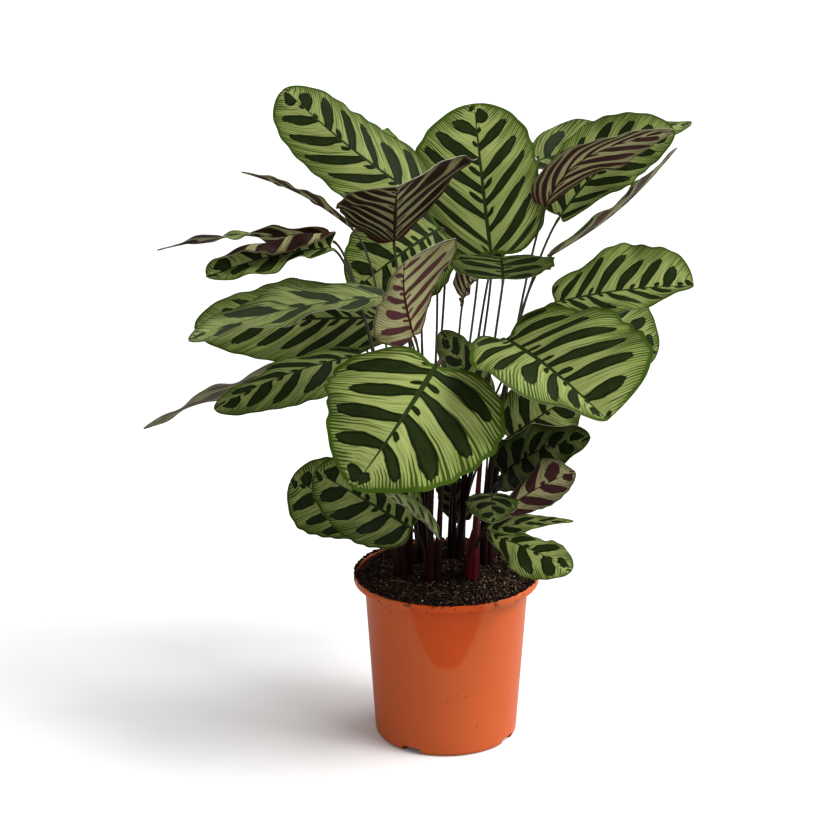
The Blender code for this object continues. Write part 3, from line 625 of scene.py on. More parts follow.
# %% Leaves in the middle and on the right
LEAVES.update({
    "leaf_11": leaf("shoot_3", (-7, 45, 525), (-95, 15, 467), (-0.3, -0.9, 0.3), 110, 10, size="big",
                    reach=0.06, tone=(0.4, -0.45)),
    "leaf_12": leaf("shoot_1", (-33, -90, 453), (-41, -190, 554), (-0.72, 0.47, 0.5),
                    ((40, 60, 110, 160, 180), (76, 86, 60, 48, 50)), 8, 0, (-8, 8), (0, 8), 2,
                    size="big", blotches=6.0, tone=(0.0, 0.0)),
    "leaf_13": leaf("shoot_6", (53, -65, 503), (52, 25, 501), (0.0, -0.1, 1.0), 104, 8, curl=(-8, -8),
                    reach=0.03, blotches=5.0, tone=(0.4, -0.9)),
    "leaf_14": leaf("shoot_4", (15, 12, 461), (35, 40, 482), (0.2, 0.6, 0.4), 46, 4, 0, (20, 20),
                    (8, 8), size="small", tone=(0.8, -0.3)),
    "leaf_15": leaf("shoot_5", (97, 30, 552), (216, -40, 644), (-0.35, 0.6, 0.75),
                    ((30, 52, 84, 96, 50), (60, 60, 50, 42, 30)), 8, 34, (-10, 10), (0, 0), 2, ear=0.0,
                    size="big", blotches=5.4, lean=0.4, tone=(0.6, -0.1)),
    "leaf_16": leaf("shoot_4", (92, 118, 577), (250, 130, 615), (0.05, -0.55, 0.83),
                    ((100, 92, 40, 28, 20), 50), 2, 0, (6, 6), (-10, -10), 5, blotches=4.0,
                    tone=(0.2, 0.4)),
    "leaf_17": leaf("shoot_5", (114, 75, 529), (228, 77, 617), (0.3, -0.8, 0.5),
                    (90, (30, 46, 60, 66, 60)), 4, -14, (0, -10), (10, -10), 4, blotches=5.5, lean=0.15,
                    tone=(0.4, -0.3)),
    "leaf_18": leaf("shoot_5", (105, 58, 495), (226, 30, 611), (-0.64, 0.18, 0.74), 40, -9, 0, (10, 10),
                    (20, 20), 3, 3, blotches=3.0, tone=(0.5, 0.5)),
    "leaf_19": leaf("shoot_5", (106, 0, 461), (242, -20, 484), (0.0, -0.6, 0.8),
                    ((90, 74, 104, 110, 170), (60, 56, 64, 46, 30)), 6, 0, (4, 10), (20, -10), 5,
                    size="big", blotches=6.5, lean=0.1, tone=(0.4, -0.3)),
    "leaf_20": leaf("shoot_4", (116, 70, 424), (216, 60, 391), (0.2, -0.8, 0.5), 100, 14, wave=4,
                    tone=(0.4, -0.4)),
})
print("leaves:", len(LEAVES))

# %% [markdown]
# ### The two largest leaves
# They hang in front of the stalks and are seen almost whole, so they show the pattern best.

# %% The two largest leaves
LEAVES.update({
    "leaf_21": leaf("shoot_6", (56, -65, 443), (148, -190, 401), (-0.25, -0.35, 0.9),
                    ((230, 164, 176, 206, 320), (120, 134, 150, 96, 80)), 16, 4, (10, 24), (-8, 8), 6,
                    ear=0.12, full=1.0, size="big", blotches=6.4, lean=0.1, tone=(0.4, -0.35)),
    "leaf_22": leaf("shoot_1", (-11, -110, 431), (-91, -170, 326), (-0.1, -0.88, 0.45),
                    ((230, 200, 166, 140, 80), (210, 208, 184, 186, 196)), 18, -5, (0, -16), (-8, -12),
                    4, ear=0.1, size="big", blotches=4.8, start=(0.1, 0.05)),
})
print("leaves:", len(LEAVES))

# %% [markdown]
# ### Low leaves
# Young leaves on short stalks stand low on both sides. Most are small, and some are rolled or folded.

# %% Low leaves on the right
LEAVES.update({
    "leaf_23": leaf("shoot_5", (62, 15, 314), (132, 23, 361), (0.1, -0.9, 0.4), 78, 6, reach=0.06,
                    blotches=4.0, tone=(0.4, -0.35)),
    "leaf_24": leaf("shoot_6", (55, -5, 282), (142, -45, 335), (-0.2, -0.45, 0.85),
                    ((72, 60, 55, 50, 60), 98), 10, 0, (44, 10), (50, 0), 4, tone=(0.4, -1.0)),
    "leaf_25": leaf("shoot_6", (51, -80, 268), (122, -130, 330), (-0.3, 0.75, 0.4),
                    ((30, 36, 44, 46, 44), (10, 20, 30, 60, 64)), 4, 0, (-40, 20), (-10, 100), 2,
                    size="small", blotches=3.8, tone=(0.45, -0.15)),
    "leaf_26": leaf("shoot_6", (41, -40, 234), (126, -60, 252), (-0.1, -0.5, 0.9),
                    ((24, 20, 18, 11, 12), (20, 30, 20, 10, 12)), 6, 0, (10, -10), (20, -10), 2,
                    size="small", blotches=3.5, tone=(0.4, -0.45)),
    "leaf_27": leaf("shoot_6", (42, -60, 238), (122, -115, 221), (0.15, -0.8, 0.6),
                    ((14, 18, 30, 46, 60), (14, 32, 56, 64, 64)), 8, curl=(-14, -14), size="small",
                    blotches=3.8, tone=(0.4, -0.4)),
    "leaf_28": leaf("shoot_6", (43, -95, 294), (42, -155, 286), (0.0, -0.55, 0.8), 50, 5, 0,
                    curl=(-14, -14), wave=2, size="small", blotches=3.5, tone=(0.4, -0.8)),
})
print("leaves:", len(LEAVES))

# %% Low leaves on the left and in the middle
LEAVES.update({
    "leaf_29": leaf("shoot_2", (-65, 0, 225), (-158, 10, 272), (-0.1, -0.85, 0.5),
                    ((58, 64, 80, 104, 116), (84, 84, 88, 96, 106)), 6, blotches=4.5, tone=(0.4, -0.5)),
    "leaf_30": leaf("shoot_1", (-35, -50, 240), (-131, -60, 305), (0.1, -0.85, 0.4),
                    ((80, 82, 84, 86, 98), 98), 6, blotches=4.5, tone=(0.4, -0.7)),
    "leaf_31": leaf("shoot_1", (-8, -60, 235), (-61, -100, 296), (0.1, -0.5, 0.8), 24, 4, 0, (10, 10),
                    (60, 60), 2, ear=0.0, size="small", tone=(0.2, 0.5)),
    "leaf_32": leaf("shoot_5", (39, 10, 345), (-7, -20, 437), (0.2, -0.8, 0.5), 50, 6, size="small",
                    tone=(0.4, -0.8)),
    "leaf_33": leaf("shoot_4", (18, 66, 205), (0, 78, 258), (-0.3, -0.9, 0.2), 36, 6, size="small",
                    tone=(0.4, -0.8)),
})
print("leaves:", len(LEAVES))

# %% [markdown]
# ### Leaves at the back
# The back isn't seen in the photograph. A plant with leaves on one side only would look cut in half,
# so six leaves in the style of the rest stand there.

# %% Leaves at the back
LEAVES.update({
    "leaf_34": leaf("shoot_4", (34, 150, 462), (35, 250, 547), (0.0, -0.6, 0.8), 90, 12, fold=(6, 6),
                    tone=(0.4, -0.2)),
    "leaf_35": leaf("shoot_3", (-111, 160, 389), (-228, 250, 360), (0.1, -0.5, 0.85), 72, 12, 0, (8, 8),
                    (-8, -8), 4),
    "leaf_36": leaf("shoot_5", (120, 140, 352), (202, 220, 345), (0.1, -0.5, 0.85), 84, 12, 0, (8, 8),
                    (-8, -8), 4, tone=(0.4, -0.4)),
    "leaf_37": leaf("shoot_3", (-30, 120, 276), (-85, 230, 256), (0.0, -0.5, 0.85), 104, 14, 0, (6, 6),
                    (-8, -8), 4, tone=(0.4, -0.5)),
    "leaf_38": leaf("shoot_3", (-50, 150, 560), (-123, 240, 571), (0.1, -0.5, 0.85), 74, 10, 0, (6, 6),
                    (-8, -8), 4),
    "leaf_39": leaf("shoot_4", (46, 110, 301), (42, 230, 284), (-0.1, -0.3, 0.95), 78, 12, 0, (6, 6),
                    (-8, -8), 4, tone=(0.4, -0.3)),
})
print("leaves:", len(LEAVES), "on", len(CROWNS), "shoots")

# %% [markdown]
# ## The course of a leaf
# A calathea leaf grows like a feather. Its side veins leave the midrib at a slant, run out and bend
# towards the tip. So a point is named by "u", where its side vein leaves the midrib, and "v", how far
# out it lies, from -1 at the left margin to 1 at the right. The values of the table are first turned
# into smooth curves along the blade.

# %% Curves along a leaf
BASE_STEP = 0.035        # share of the length where the first side veins end
SLANT = 0.75             # how far ahead a side vein ends of where it starts
ROUNDNESS = 0.52         # of the outline, where a smaller number is blunter


def unit(v):
    """The vector or vectors with a length of one."""
    v = np.asarray(v, dtype=float)
    return v / np.linalg.norm(v, axis=-1, keepdims=True)


def along_blade(values, place):
    """A smooth curve through values at equal steps from the blade's start to its tip."""
    values = np.array(values, dtype=float)
    last = len(values) - 1
    position = np.clip(place, 0.0, 1.0) * last
    index = np.minimum(position.astype(int), last - 1)
    t = position - index
    ends = (2 * values[0] - values[1], 2 * values[-1] - values[-2])
    values = np.concatenate((ends[:1], values, ends[1:]))
    a, b, c, d = (values[index + k] for k in range(4))
    return b + 0.5 * t * (c - a + t * (2 * a - 5 * b + 4 * c - d + t * (3 * (b - c) + d - a)))


def half_value(pair, v, place):
    """Value for the left or the right half, where each is a number or values along the blade."""
    left, right = (along_blade(side, place) if isinstance(side, tuple) else side for side in pair)
    return np.where(v < 0, left, right)


def outline(place, full):
    """Half width of the blade, from 0 to 1, at each place along the midrib."""
    return np.sin(np.pi * np.clip(place, 0.0, 1.0) ** full) ** ROUNDNESS


def margin_place(u):
    """How far along the blade a side vein ends that leaves the midrib at u."""
    return BASE_STEP * (1 - u) ** 2 + u + SLANT * u ** 0.7 * (1 - u) * (1 - BASE_STEP)


def leaf_axes(part):
    """Base, length, direction of the midrib, upper normal and sideways direction of a leaf."""
    base = np.array(part["base"], dtype=float)
    tip = np.array(part["tip"], dtype=float)
    length = np.linalg.norm(tip - base)
    along = (tip - base) / length
    face = np.array(part["face"], dtype=float)
    normal = unit(face - (face @ along) * along)
    return base, length, along, normal, np.cross(along, normal)


def midrib(part, place):
    """Points on the arched midrib."""
    base, length, along, normal, sideways = leaf_axes(part)
    bow = np.sin(np.pi * np.asarray(place))[..., None]
    points = base + along * (length * place)[..., None]
    return points + normal * part["arch"] * bow + sideways * part["sweep"] * bow


print("side vein from the middle ends at", round(float(margin_place(0.5)), 3), "of the length")

# %% [markdown]
# ## The surface of a leaf
# The formula walks out along a side vein and bends each half with its fold and curl. The lobes beside
# the stalk reach back a little, as the "ear" says. Last come the waves of the margin, its small frills
# and scallops, and the soft pleats that the veins press into the blade. A formula serves better here
# than sculpting, because the pattern's maps come from the same "u" and "v" and so fit the shape.

# %% Leaf surface
BASE_HALF = 1.2          # mm, half of the blade's width at its very start
EAR_START = 0.15         # share of a half where the lobe begins
VEIN_BEND = 0.45         # share of a side vein's slant that comes late, near the margin
FRILL = 0.9              # mm, height of the small waves of the margin
FRILL_WAVES = 6.5        # along the blade
SCALLOP = 0.017          # share of the half width
SCALLOP_WAVES = 8.0      # along the blade
PLEAT = 0.30             # mm, height of the pleats between the veins
CROWDING = 0.75          # below 1, the blotches stand closer near the stalk


def blotch_count(part, u, v):
    """Counts the blotches along each half of the leaf, from its own start."""
    lean = np.where(v < 0, *part["lean"])
    first = 0.05 + lean
    leaned = first + u - lean * np.abs(v) * (1 - u)
    origin = first ** CROWDING
    share = (leaned ** CROWDING - origin) / ((1 + first) ** CROWDING - origin)
    return part["blotches"] * share + np.where(v < 0, *part["start"])


def leaf_point(part, u, v):
    """Points on the upper side."""
    u, v = np.broadcast_arrays(np.asarray(u, dtype=float), np.asarray(v, dtype=float))
    normal0 = leaf_axes(part)[3]
    across = np.abs(v)
    side = np.where(v < 0, -1.0, 1.0)
    end = margin_place(u)
    half = 0.5 * half_value(part["width"], v, end)
    place = u + (end - u) * ((1 - VEIN_BEND) * across + VEIN_BEND * across ** 2.5)
    lobe = np.clip((across - EAR_START) / (1 - EAR_START), 0.0, 1.0)
    place = place - part["ear"] * (1 - u) ** 8 * np.sin(0.5 * np.pi * lobe)
    own = 0.37 * part["tip"][0] + 1.7 * side    # so that no two margins wave alike
    scallop = 1 + SCALLOP * across ** 2 * np.sin(2 * np.pi * SCALLOP_WAVES * end + own)
    flat = half * outline(end, part["full"]) * across * scallop + BASE_HALF * across * (1 - u) ** 30
    step = 1e-3
    tangent = unit(midrib(part, place + step) - midrib(part, place - step))
    normal = unit(normal0 - (tangent @ normal0)[..., None] * tangent)
    outward = np.cross(tangent, normal)
    fold = np.radians(half_value(part["fold"], v, place))
    curl = np.radians(half_value(part["curl"], v, place))
    curl = np.where(np.abs(curl) < 1e-4, 1e-4, curl)
    turn = fold + curl * flat / half
    sideways = (np.sin(turn) - np.sin(fold)) / curl * half
    rise = -(np.cos(turn) - np.cos(fold)) / curl * half
    point = midrib(part, place) + outward * (side * sideways)[..., None] + normal * rise[..., None]
    local = normal * np.cos(turn)[..., None] - outward * (side * np.sin(turn))[..., None]
    phase = 2 * np.pi * part["waves"] * place + np.where(v < 0, 2.1, 0.0)
    ripple = part["wave"] * across ** 2 * np.sin(phase)
    ripple = ripple + FRILL * across ** 4 * np.sin(2 * np.pi * FRILL_WAVES * place + own)
    ripple = ripple * np.sin(np.pi * np.clip(place, 0.0, 1.0))
    pleats = PLEAT * np.cos(2 * np.pi * blotch_count(part, u, v)) * np.sin(np.pi * across) * (1 - u)
    return point + local * (ripple + pleats)[..., None]


def leaf_normal(part, u, v):
    """Unit normals of the upper side."""
    step = 0.01
    u = np.clip(u, 0.0, 0.97)
    du = leaf_point(part, u + step, v) - leaf_point(part, np.maximum(u - step, 0.0), v)
    dv = leaf_point(part, u, np.minimum(v + step, 1.0)) - leaf_point(part, u, np.maximum(v - step, -1.0))
    return unit(np.cross(dv, du))


middle_of_first = leaf_point(LEAVES["leaf_01"], 0.5, 0.0)
print("middle of the first leaf, in mm:", np.round(middle_of_first, 1))

# %% [markdown]
# ## Making the blades
# Each blade starts as a flat grid. It is extruded to get a lower side and a rim, and then every
# vertex is moved to its place on the leaf, so the mesh stays even and closed. The lower side lies a
# blade's thickness below, and further along the midrib, where a calathea has a stout round rib. The
# last row of the grid shrinks to one point, the tip, and is merged there.

# %% Blade thickness and pieces
BLADE_EDGE = 0.55        # mm, thickness at the margin
BLADE_RIB = 2.4          # mm, sets how far the rib stands out at its start
RIB_HALF = 0.05          # share of a half that the round rib takes up
RIB_FOOT = 0.14          # share of a half where its slope has run out


def blade_depth(u, v):
    """Thickness of the blade, with the midrib standing out below."""
    rib = (BLADE_RIB - BLADE_EDGE) * (1 - 0.75 * u)
    round_rib = np.sqrt(np.clip(1 - (np.abs(v) / RIB_HALF) ** 2, 0.0, 1.0))
    slope = np.clip(1 - np.abs(v) / RIB_FOOT, 0.0, 1.0) ** 2
    return BLADE_EDGE + rib * np.maximum(0.85 * round_rib, 0.6 * slope)


def distance_to_rim(points, rim):
    """Distance from each point to the nearest point of the rim."""
    nearest = np.full(len(points), np.inf)
    for corner in rim:
        nearest = np.minimum(nearest, np.linalg.norm(points - corner, axis=1))
    return nearest


def new_piece(name, bm, nodes, materials):
    """Turn a bmesh into a piece that rides on the root and stands for its nodes."""
    mesh = bpy.data.meshes.new(name)
    bm.to_mesh(mesh)
    bm.free()
    for material in materials:
        mesh.materials.append(material)
    mesh.shade_smooth()
    piece = bpy.data.objects.new(name, mesh)
    bpy.context.scene.collection.objects.link(piece)
    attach(piece, "root")
    if nodes:
        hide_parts(*nodes)
    return piece


rib_depth = round(float(blade_depth(0.0, 0.0)), 2)
print("blade:", BLADE_EDGE, "mm thick at the margin,", rib_depth, "mm at the start of the rib")

# %% Blades
ROWS = 60
COLUMNS = 44
ROW_EASE = 1.3           # rows stand closer towards the stalk
COLUMN_EASE = 1.15       # and columns towards the margin
COUNT_STEP = 20          # keeps the random numbers of the leaves apart


def make_blade(name, part, number):
    """One leaf blade with its three maps."""
    bm = bmesh.new()
    place_map = bm.loops.layers.uv.new("place")
    marks_map = bm.loops.layers.uv.new("marks")
    tone_map = bm.loops.layers.uv.new("tone")
    bmesh.ops.create_grid(bm, x_segments=ROWS, y_segments=COLUMNS, size=0.5)
    upper_faces = set(bm.faces)
    grown = bmesh.ops.extrude_face_region(bm, geom=list(bm.faces))["geom"]
    lower_verts = {item for item in grown if isinstance(item, bmesh.types.BMVert)}
    lower_faces = {item for item in grown if isinstance(item, bmesh.types.BMFace)}
    verts = list(bm.verts)
    flat = np.array([vert.co[:2] for vert in verts])
    u = (flat[:, 0] + 0.5) ** ROW_EASE
    v = 2 * flat[:, 1]
    v = np.sign(v) * (1 - (1 - np.abs(v)) ** COLUMN_EASE)
    points = leaf_point(part, u, v)
    at_rim = (u < 1e-6) | (np.abs(v) > 1 - 1e-6)
    half_width = 0.5 * np.mean([np.mean(side) for side in part["width"]])
    edge = distance_to_rim(points, points[at_rim]) / half_width
    left_count = COUNT_STEP * number + blotch_count(part, u, -np.maximum(np.abs(v), 1e-9))
    right_count = COUNT_STEP * number + blotch_count(part, u, np.abs(v)) + COUNT_STEP / 2
    toward = leaf_normal(part, u, np.where(u > 0.999, 0.0, v))
    below = points - toward * blade_depth(u, v)[:, None]
    row = {vert: index for index, vert in enumerate(verts)}
    for face in bm.faces:
        count = right_count if face.calc_center_median().y > 0 else left_count
        for loop in face.loops:
            index = row[loop.vert]
            loop[place_map].uv = (u[index], 0.5 + 0.5 * v[index])
            loop[marks_map].uv = (count[index], edge[index])
            loop[tone_map].uv = part["tone"]
        if face in lower_faces:
            face.material_index = 1
        elif face not in upper_faces:
            face.material_index = 2
    for index, vert in enumerate(verts):
        vert.co = (below if vert in lower_verts else points)[index] * MM
    bmesh.ops.remove_doubles(bm, verts=bm.verts, dist=1e-6)
    bmesh.ops.recalc_face_normals(bm, faces=bm.faces)
    piece = new_piece(name + "_blade", bm, [name], (LEAF_TOP, LEAF_UNDER, LEAF_EDGE))
    piece.data.set_sharp_from_angle(angle=math.radians(55))
    return piece


triangles = 0
for number, (name, part) in enumerate(LEAVES.items()):
    blade = make_blade(name, part, number)
    triangles += sum(len(polygon.vertices) - 2 for polygon in blade.data.polygons)
print("blades:", triangles, "triangles")

# %% [markdown]
# ## Stalk skin
# A leaf stalk leaves the soil as a fleshy sheath, nearly black with a dark red glow: its own dark red is
# deepened by painted shade among the crowded stalks. One of them, in front on the right, carries painted
# light, a brighter red where light falls on it between the leaves. Higher up a stalk is a grey-brown
# wire, painted darker low down for shade and paler towards the top for light, and just under the blade
# it turns light brown. Fine lines run along it. The colours blend by the stalk's own map, and the
# painted light and shade of the wire by height.

# %% Stalk skin
# The sheath's dark red is painted nearly black for the shade among the crowded stalks.
SHEATH_DARK = (0.004, 0.0012, 0.001, 1.0)
SHEATH_RED = (0.018, 0.003, 0.003, 1.0)
PAINTED_LIGHT_RED = (0.090, 0.006, 0.009, 1.0)
SHADED_WIRE_DARK = (0.006, 0.005, 0.003, 1.0)
SHADED_WIRE_LIGHT = (0.020, 0.016, 0.010, 1.0)
LIT_WIRE_DARK = (0.030, 0.026, 0.018, 1.0)
LIT_WIRE_LIGHT = (0.075, 0.068, 0.050, 1.0)
TOP_BROWN = (0.110, 0.055, 0.022, 1.0)
LINE_BROWN = (0.034, 0.023, 0.013, 1.0)
PAINTED_LIGHT_X = 0.026         # m, where painted light falls on one sheath


def make_stalk_skin():
    """Dark red below, with painted light on one sheath in front, and grey-brown above."""
    material, tree, shader = new_material("stalk_skin")
    along, around = parts_of(tree, uv_map(tree, "place"))[:2]
    lines = speckle(tree, stack(tree, times(tree, along, 3.0), times(tree, around, 40.0)), 1.0, 3.0)
    patch = speckle(tree, object_point(tree), 55.0, 3.0)
    sheath = paint(tree, patch, SHEATH_DARK, SHEATH_RED)
    x, y, z = parts_of(tree, object_point(tree))
    # One sheath in front gets a painted highlight of brighter red, where light falls between the leaves.
    beside = calc(tree, "ABSOLUTE", calc(tree, "SUBTRACT", x, PAINTED_LIGHT_X))
    painted_light = calc(tree, "MULTIPLY", ease(tree, beside, 0.009, 0.004), ease(tree, y, -0.010, -0.018))
    sheath = paint(tree, calc(tree, "MULTIPLY", painted_light, 0.8), sheath, PAINTED_LIGHT_RED)
    # Low down the wire is painted dark for the shade among the stalks, and higher up paler for the
    # light.
    wire = paint(tree, patch, SHADED_WIRE_DARK, SHADED_WIRE_LIGHT)
    lit_wire = paint(tree, patch, LIT_WIRE_DARK, LIT_WIRE_LIGHT)
    wire = paint(tree, ease(tree, z, 0.26, 0.40), wire, lit_wire)
    colour = paint(tree, ease(tree, along, 0.18, 0.55), sheath, wire)
    colour = paint(tree, ease(tree, along, 0.93, 0.98, 0.0, 0.7), colour, TOP_BROWN)
    colour = paint(tree, ease(tree, lines, 0.45, 0.75, 0.0, 0.20), colour, LINE_BROWN)
    feed(tree, shader.inputs["Base Color"], colour)
    feed(tree, shader.inputs["Roughness"], ease(tree, patch, 0.2, 0.8, 0.38, 0.55))
    shader.inputs["Specular IOR Level"].default_value = 0.05
    feed(tree, shader.inputs["Normal"], relief(tree, lines, 0.0003, 0.5))
    return material


STALK_SKIN = make_stalk_skin()
print("stalk skin:", len(STALK_SKIN.node_tree.nodes), "nodes")

# %% [markdown]
# ## Stalk routes
# A stalk stands upright at its foot and arrives in line with its midrib. A cubic curve with a handle
# at each end does both. The feet stand round the crown in the order of the leaves, so that stalks of
# one shoot don't run through each other. A stalk is a thick sheath at its foot, thins out to a wire
# a few millimetres thick, and swells again just under the blade, where the leaf can turn to the light.

# %% Stalk routes
FOOT_RING = 6.0          # mm, radius of the ring of feet on a crown
FOOT_Z = 160.0           # mm, sunk in the soil
FIT_GAP = 0.3            # mm, between neighbouring pieces
STALK_RISE = 0.45        # length of the lower handle, as a share of the distance
LONGEST_REACH = 45.0     # mm, limit of the upper handle
STALK_DIP = 3.0          # mm, how far that handle hangs below the midrib
SHEATH_SHARE = 0.45      # share of the stalk that the sheath takes up
# Radii in mm: of the sheath, of the slim part and of the end.
STALK_RADII = {"big": (4.1, 1.25, 1.4), "middle": (4.1, 1.25, 1.4), "small": (2.9, 1.1, 1.1)}
SWELLING = 0.45          # mm, added to the radius
SWELLING_HALF = 7.0      # mm, half of its length
SWELLING_FROM_BLADE = 9.0    # mm


def stalk_feet(name):
    """Foot of every stalk in one shoot, set around the crown in the order that the leaves stand."""
    centre = np.array(CROWNS[name])
    members = [key for key, part in LEAVES.items() if part["shoot"] == name]
    bearings = {}
    for key in members:
        base = np.array(LEAVES[key]["base"][:2], dtype=float)
        bearings[key] = math.atan2(base[1] - centre[1], base[0] - centre[0])
    members.sort(key=lambda key: bearings[key])
    northing = sum(math.sin(bearings[key]) for key in members)
    easting = sum(math.cos(bearings[key]) for key in members)
    mean = math.atan2(northing, easting)
    members.sort(key=lambda key: (bearings[key] - mean + math.pi) % (2 * math.pi))
    feet = {}
    for index, key in enumerate(members):
        angle = mean + 2 * math.pi * ((index + 0.5) / len(members) - 0.5)
        feet[key] = centre + FOOT_RING * np.array((math.cos(angle), math.sin(angle)))
    return feet


def stalk_route(part, foot, s):
    """Centre line of a stalk and its directions, from its foot up to the start of the blade."""
    axes = leaf_axes(part)
    base, normal = axes[0], axes[3]
    start = np.array((foot[0], foot[1], FOOT_Z))
    arrive = unit(midrib(part, np.array(0.03)) - midrib(part, np.array(0.0)))
    end = base - arrive * FIT_GAP - normal * 0.5 * BLADE_RIB
    distance = np.linalg.norm(end - start)
    rise = start + np.array((0.0, 0.0, STALK_RISE * distance))
    near = end - arrive * min(LONGEST_REACH, part["reach"] * distance) - normal * STALK_DIP
    s = s[:, None]
    rest = 1 - s
    route = rest ** 3 * start + 3 * rest ** 2 * s * rise + 3 * rest * s ** 2 * near + s ** 3 * end
    heading = rest ** 2 * (rise - start) + 2 * rest * s * (near - rise) + s ** 2 * (end - near)
    return route, unit(heading), distance


def stalk_radius(part, s, distance):
    """A sheath that thins out, a slim stalk and a swelling below the blade."""
    sheath, slim, end = STALK_RADII[part["size"]]
    fade = np.clip(1 - s / SHEATH_SHARE, 0.0, 1.0)
    radius = slim + (sheath - slim) * fade * (1.25 - 0.25 * fade)
    from_blade = (1 - s) * distance
    swelling = np.exp(-((from_blade - SWELLING_FROM_BLADE) / SWELLING_HALF) ** 2)
    return radius + SWELLING * swelling + (end - slim) * (s > 0.999)


feet = [foot for name in CROWNS for foot in stalk_feet(name).values()]
outermost = max(math.hypot(*foot) for foot in feet)
print("stalks:", len(feet), "feet, the outermost", round(outermost, 1), "mm from the middle")

# %% [markdown]
# ## Stalks and crowns
# A stalk is a grid whose length follows the route and whose width is bent round it, so its map comes
# with the grid. The crown, a stout stump in the soil, is made in the same way. The open ends are then
# filled. All stalks of a shoot and their crown are one piece, because they grew as one.

# %% Stalks and crowns
STALK_SIDES = 10
STALK_RINGS = 44
CROWN_RADIUS = 11.0
CROWN_LOW_Z = 150.3
CROWN_HIGH_Z = 177.0
CROWN_RINGS = 8


def add_tube(bm, place_map, route, headings, radii):
    """Bend a grid round a route and close its seam."""
    made = bmesh.ops.create_grid(bm, x_segments=len(route) - 1, y_segments=STALK_SIDES, size=0.5)
    firsts = []
    reference = np.array((1.0, 0.0, 0.0))
    for heading in headings:
        reference = unit(reference - (reference @ heading) * heading)
        firsts.append(reference)
    for face in {face for vert in made["verts"] for face in vert.link_faces}:
        for loop in face.loops:
            loop[place_map].uv = (loop.vert.co.x + 0.5, loop.vert.co.y + 0.5)
    for vert in made["verts"]:
        ring = round((vert.co.x + 0.5) * (len(route) - 1))
        angle = 2 * math.pi * (vert.co.y + 0.5)
        first, heading = firsts[ring], headings[ring]
        second = np.cross(heading, first)
        offset = first * math.cos(angle) + second * math.sin(angle)
        vert.co = (route[ring] + offset * radii[ring]) * MM
    bmesh.ops.remove_doubles(bm, verts=made["verts"], dist=1e-6)


def make_shoot(name):
    """All stalks of one shoot and the crown that they rise from."""
    bm = bmesh.new()
    place_map = bm.loops.layers.uv.new("place")
    for key, foot in stalk_feet(name).items():
        part = LEAVES[key]
        s = np.linspace(0.0, 1.0, STALK_RINGS + 1)
        route, headings, distance = stalk_route(part, foot, s)
        add_tube(bm, place_map, route, headings, stalk_radius(part, s, distance))
    x, y = CROWNS[name]
    heights = np.linspace(CROWN_LOW_Z, CROWN_HIGH_Z, CROWN_RINGS + 1)
    share = (heights - CROWN_LOW_Z) / (CROWN_HIGH_Z - CROWN_LOW_Z)
    crown = np.stack((np.full_like(heights, x), np.full_like(heights, y), heights), axis=1)
    radii = CROWN_RADIUS * (1 - 0.45 * share ** 4)
    add_tube(bm, place_map, crown, np.tile((0.0, 0.0, 1.0), (len(heights), 1)), radii)
    bmesh.ops.holes_fill(bm, edges=[edge for edge in bm.edges if edge.is_boundary], sides=0)
    bmesh.ops.recalc_face_normals(bm, faces=bm.faces)
    piece = new_piece(name + "_stalks", bm, [name], (STALK_SKIN,))
    piece.data.set_sharp_from_angle(angle=math.radians(60))
    return piece


for name in CROWNS:
    shoot = make_shoot(name)
    print("stalks:", shoot.name, len(shoot.data.polygons), "faces")

# %% [markdown]
# ## Pot plastic
# The plastic is a satin orange with specks of soil and a soiled lip. On the front, below the lip, a
# bowl-shaped patch of deeper orange is painted shade, where the leaves above keep light and sheen off
# the plastic. The patch and the dirt are masks from the object's own coordinates, so no picture and no
# map is needed.

# %% Pot material
SHADE_PATCH_LOW = 0.098        # m, lowest point of the patch of painted shade
SHADE_PATCH_DEPTH = 0.068      # m, from there up to the lip
SHADE_PATCH_HALF = 0.040       # m, half of its width at the top
SHADE_PATCH_CURVE = 0.42       # a smaller number makes the bowl fuller
SHADE_PATCH_SOFT = 0.006       # m, width of its soft edge
PLASTIC_DARK = (0.515, 0.090, 0.018, 1.0)
PLASTIC_LIGHT = (0.570, 0.106, 0.023, 1.0)
SHADED_ORANGE = (0.525, 0.059, 0.002, 1.0)
SOIL_STAIN = (0.060, 0.022, 0.012, 1.0)


def painted_shade_patch(tree, x, y, z):
    """The bowl-shaped patch of painted shade below the lip."""
    rise = times(tree, z, 1 / SHADE_PATCH_DEPTH, -SHADE_PATCH_LOW / SHADE_PATCH_DEPTH, clamp=True)
    half = times(tree, calc(tree, "POWER", rise, SHADE_PATCH_CURVE), SHADE_PATCH_HALF)
    patch = ease(tree, calc(tree, "SUBTRACT", calc(tree, "ABSOLUTE", x), half), 0.0, -SHADE_PATCH_SOFT)
    low_end = ease(tree, z, SHADE_PATCH_LOW, SHADE_PATCH_LOW + SHADE_PATCH_SOFT)
    front = ease(tree, y, -0.02, -0.04)
    return calc(tree, "MULTIPLY", patch, calc(tree, "MULTIPLY", low_end, front))


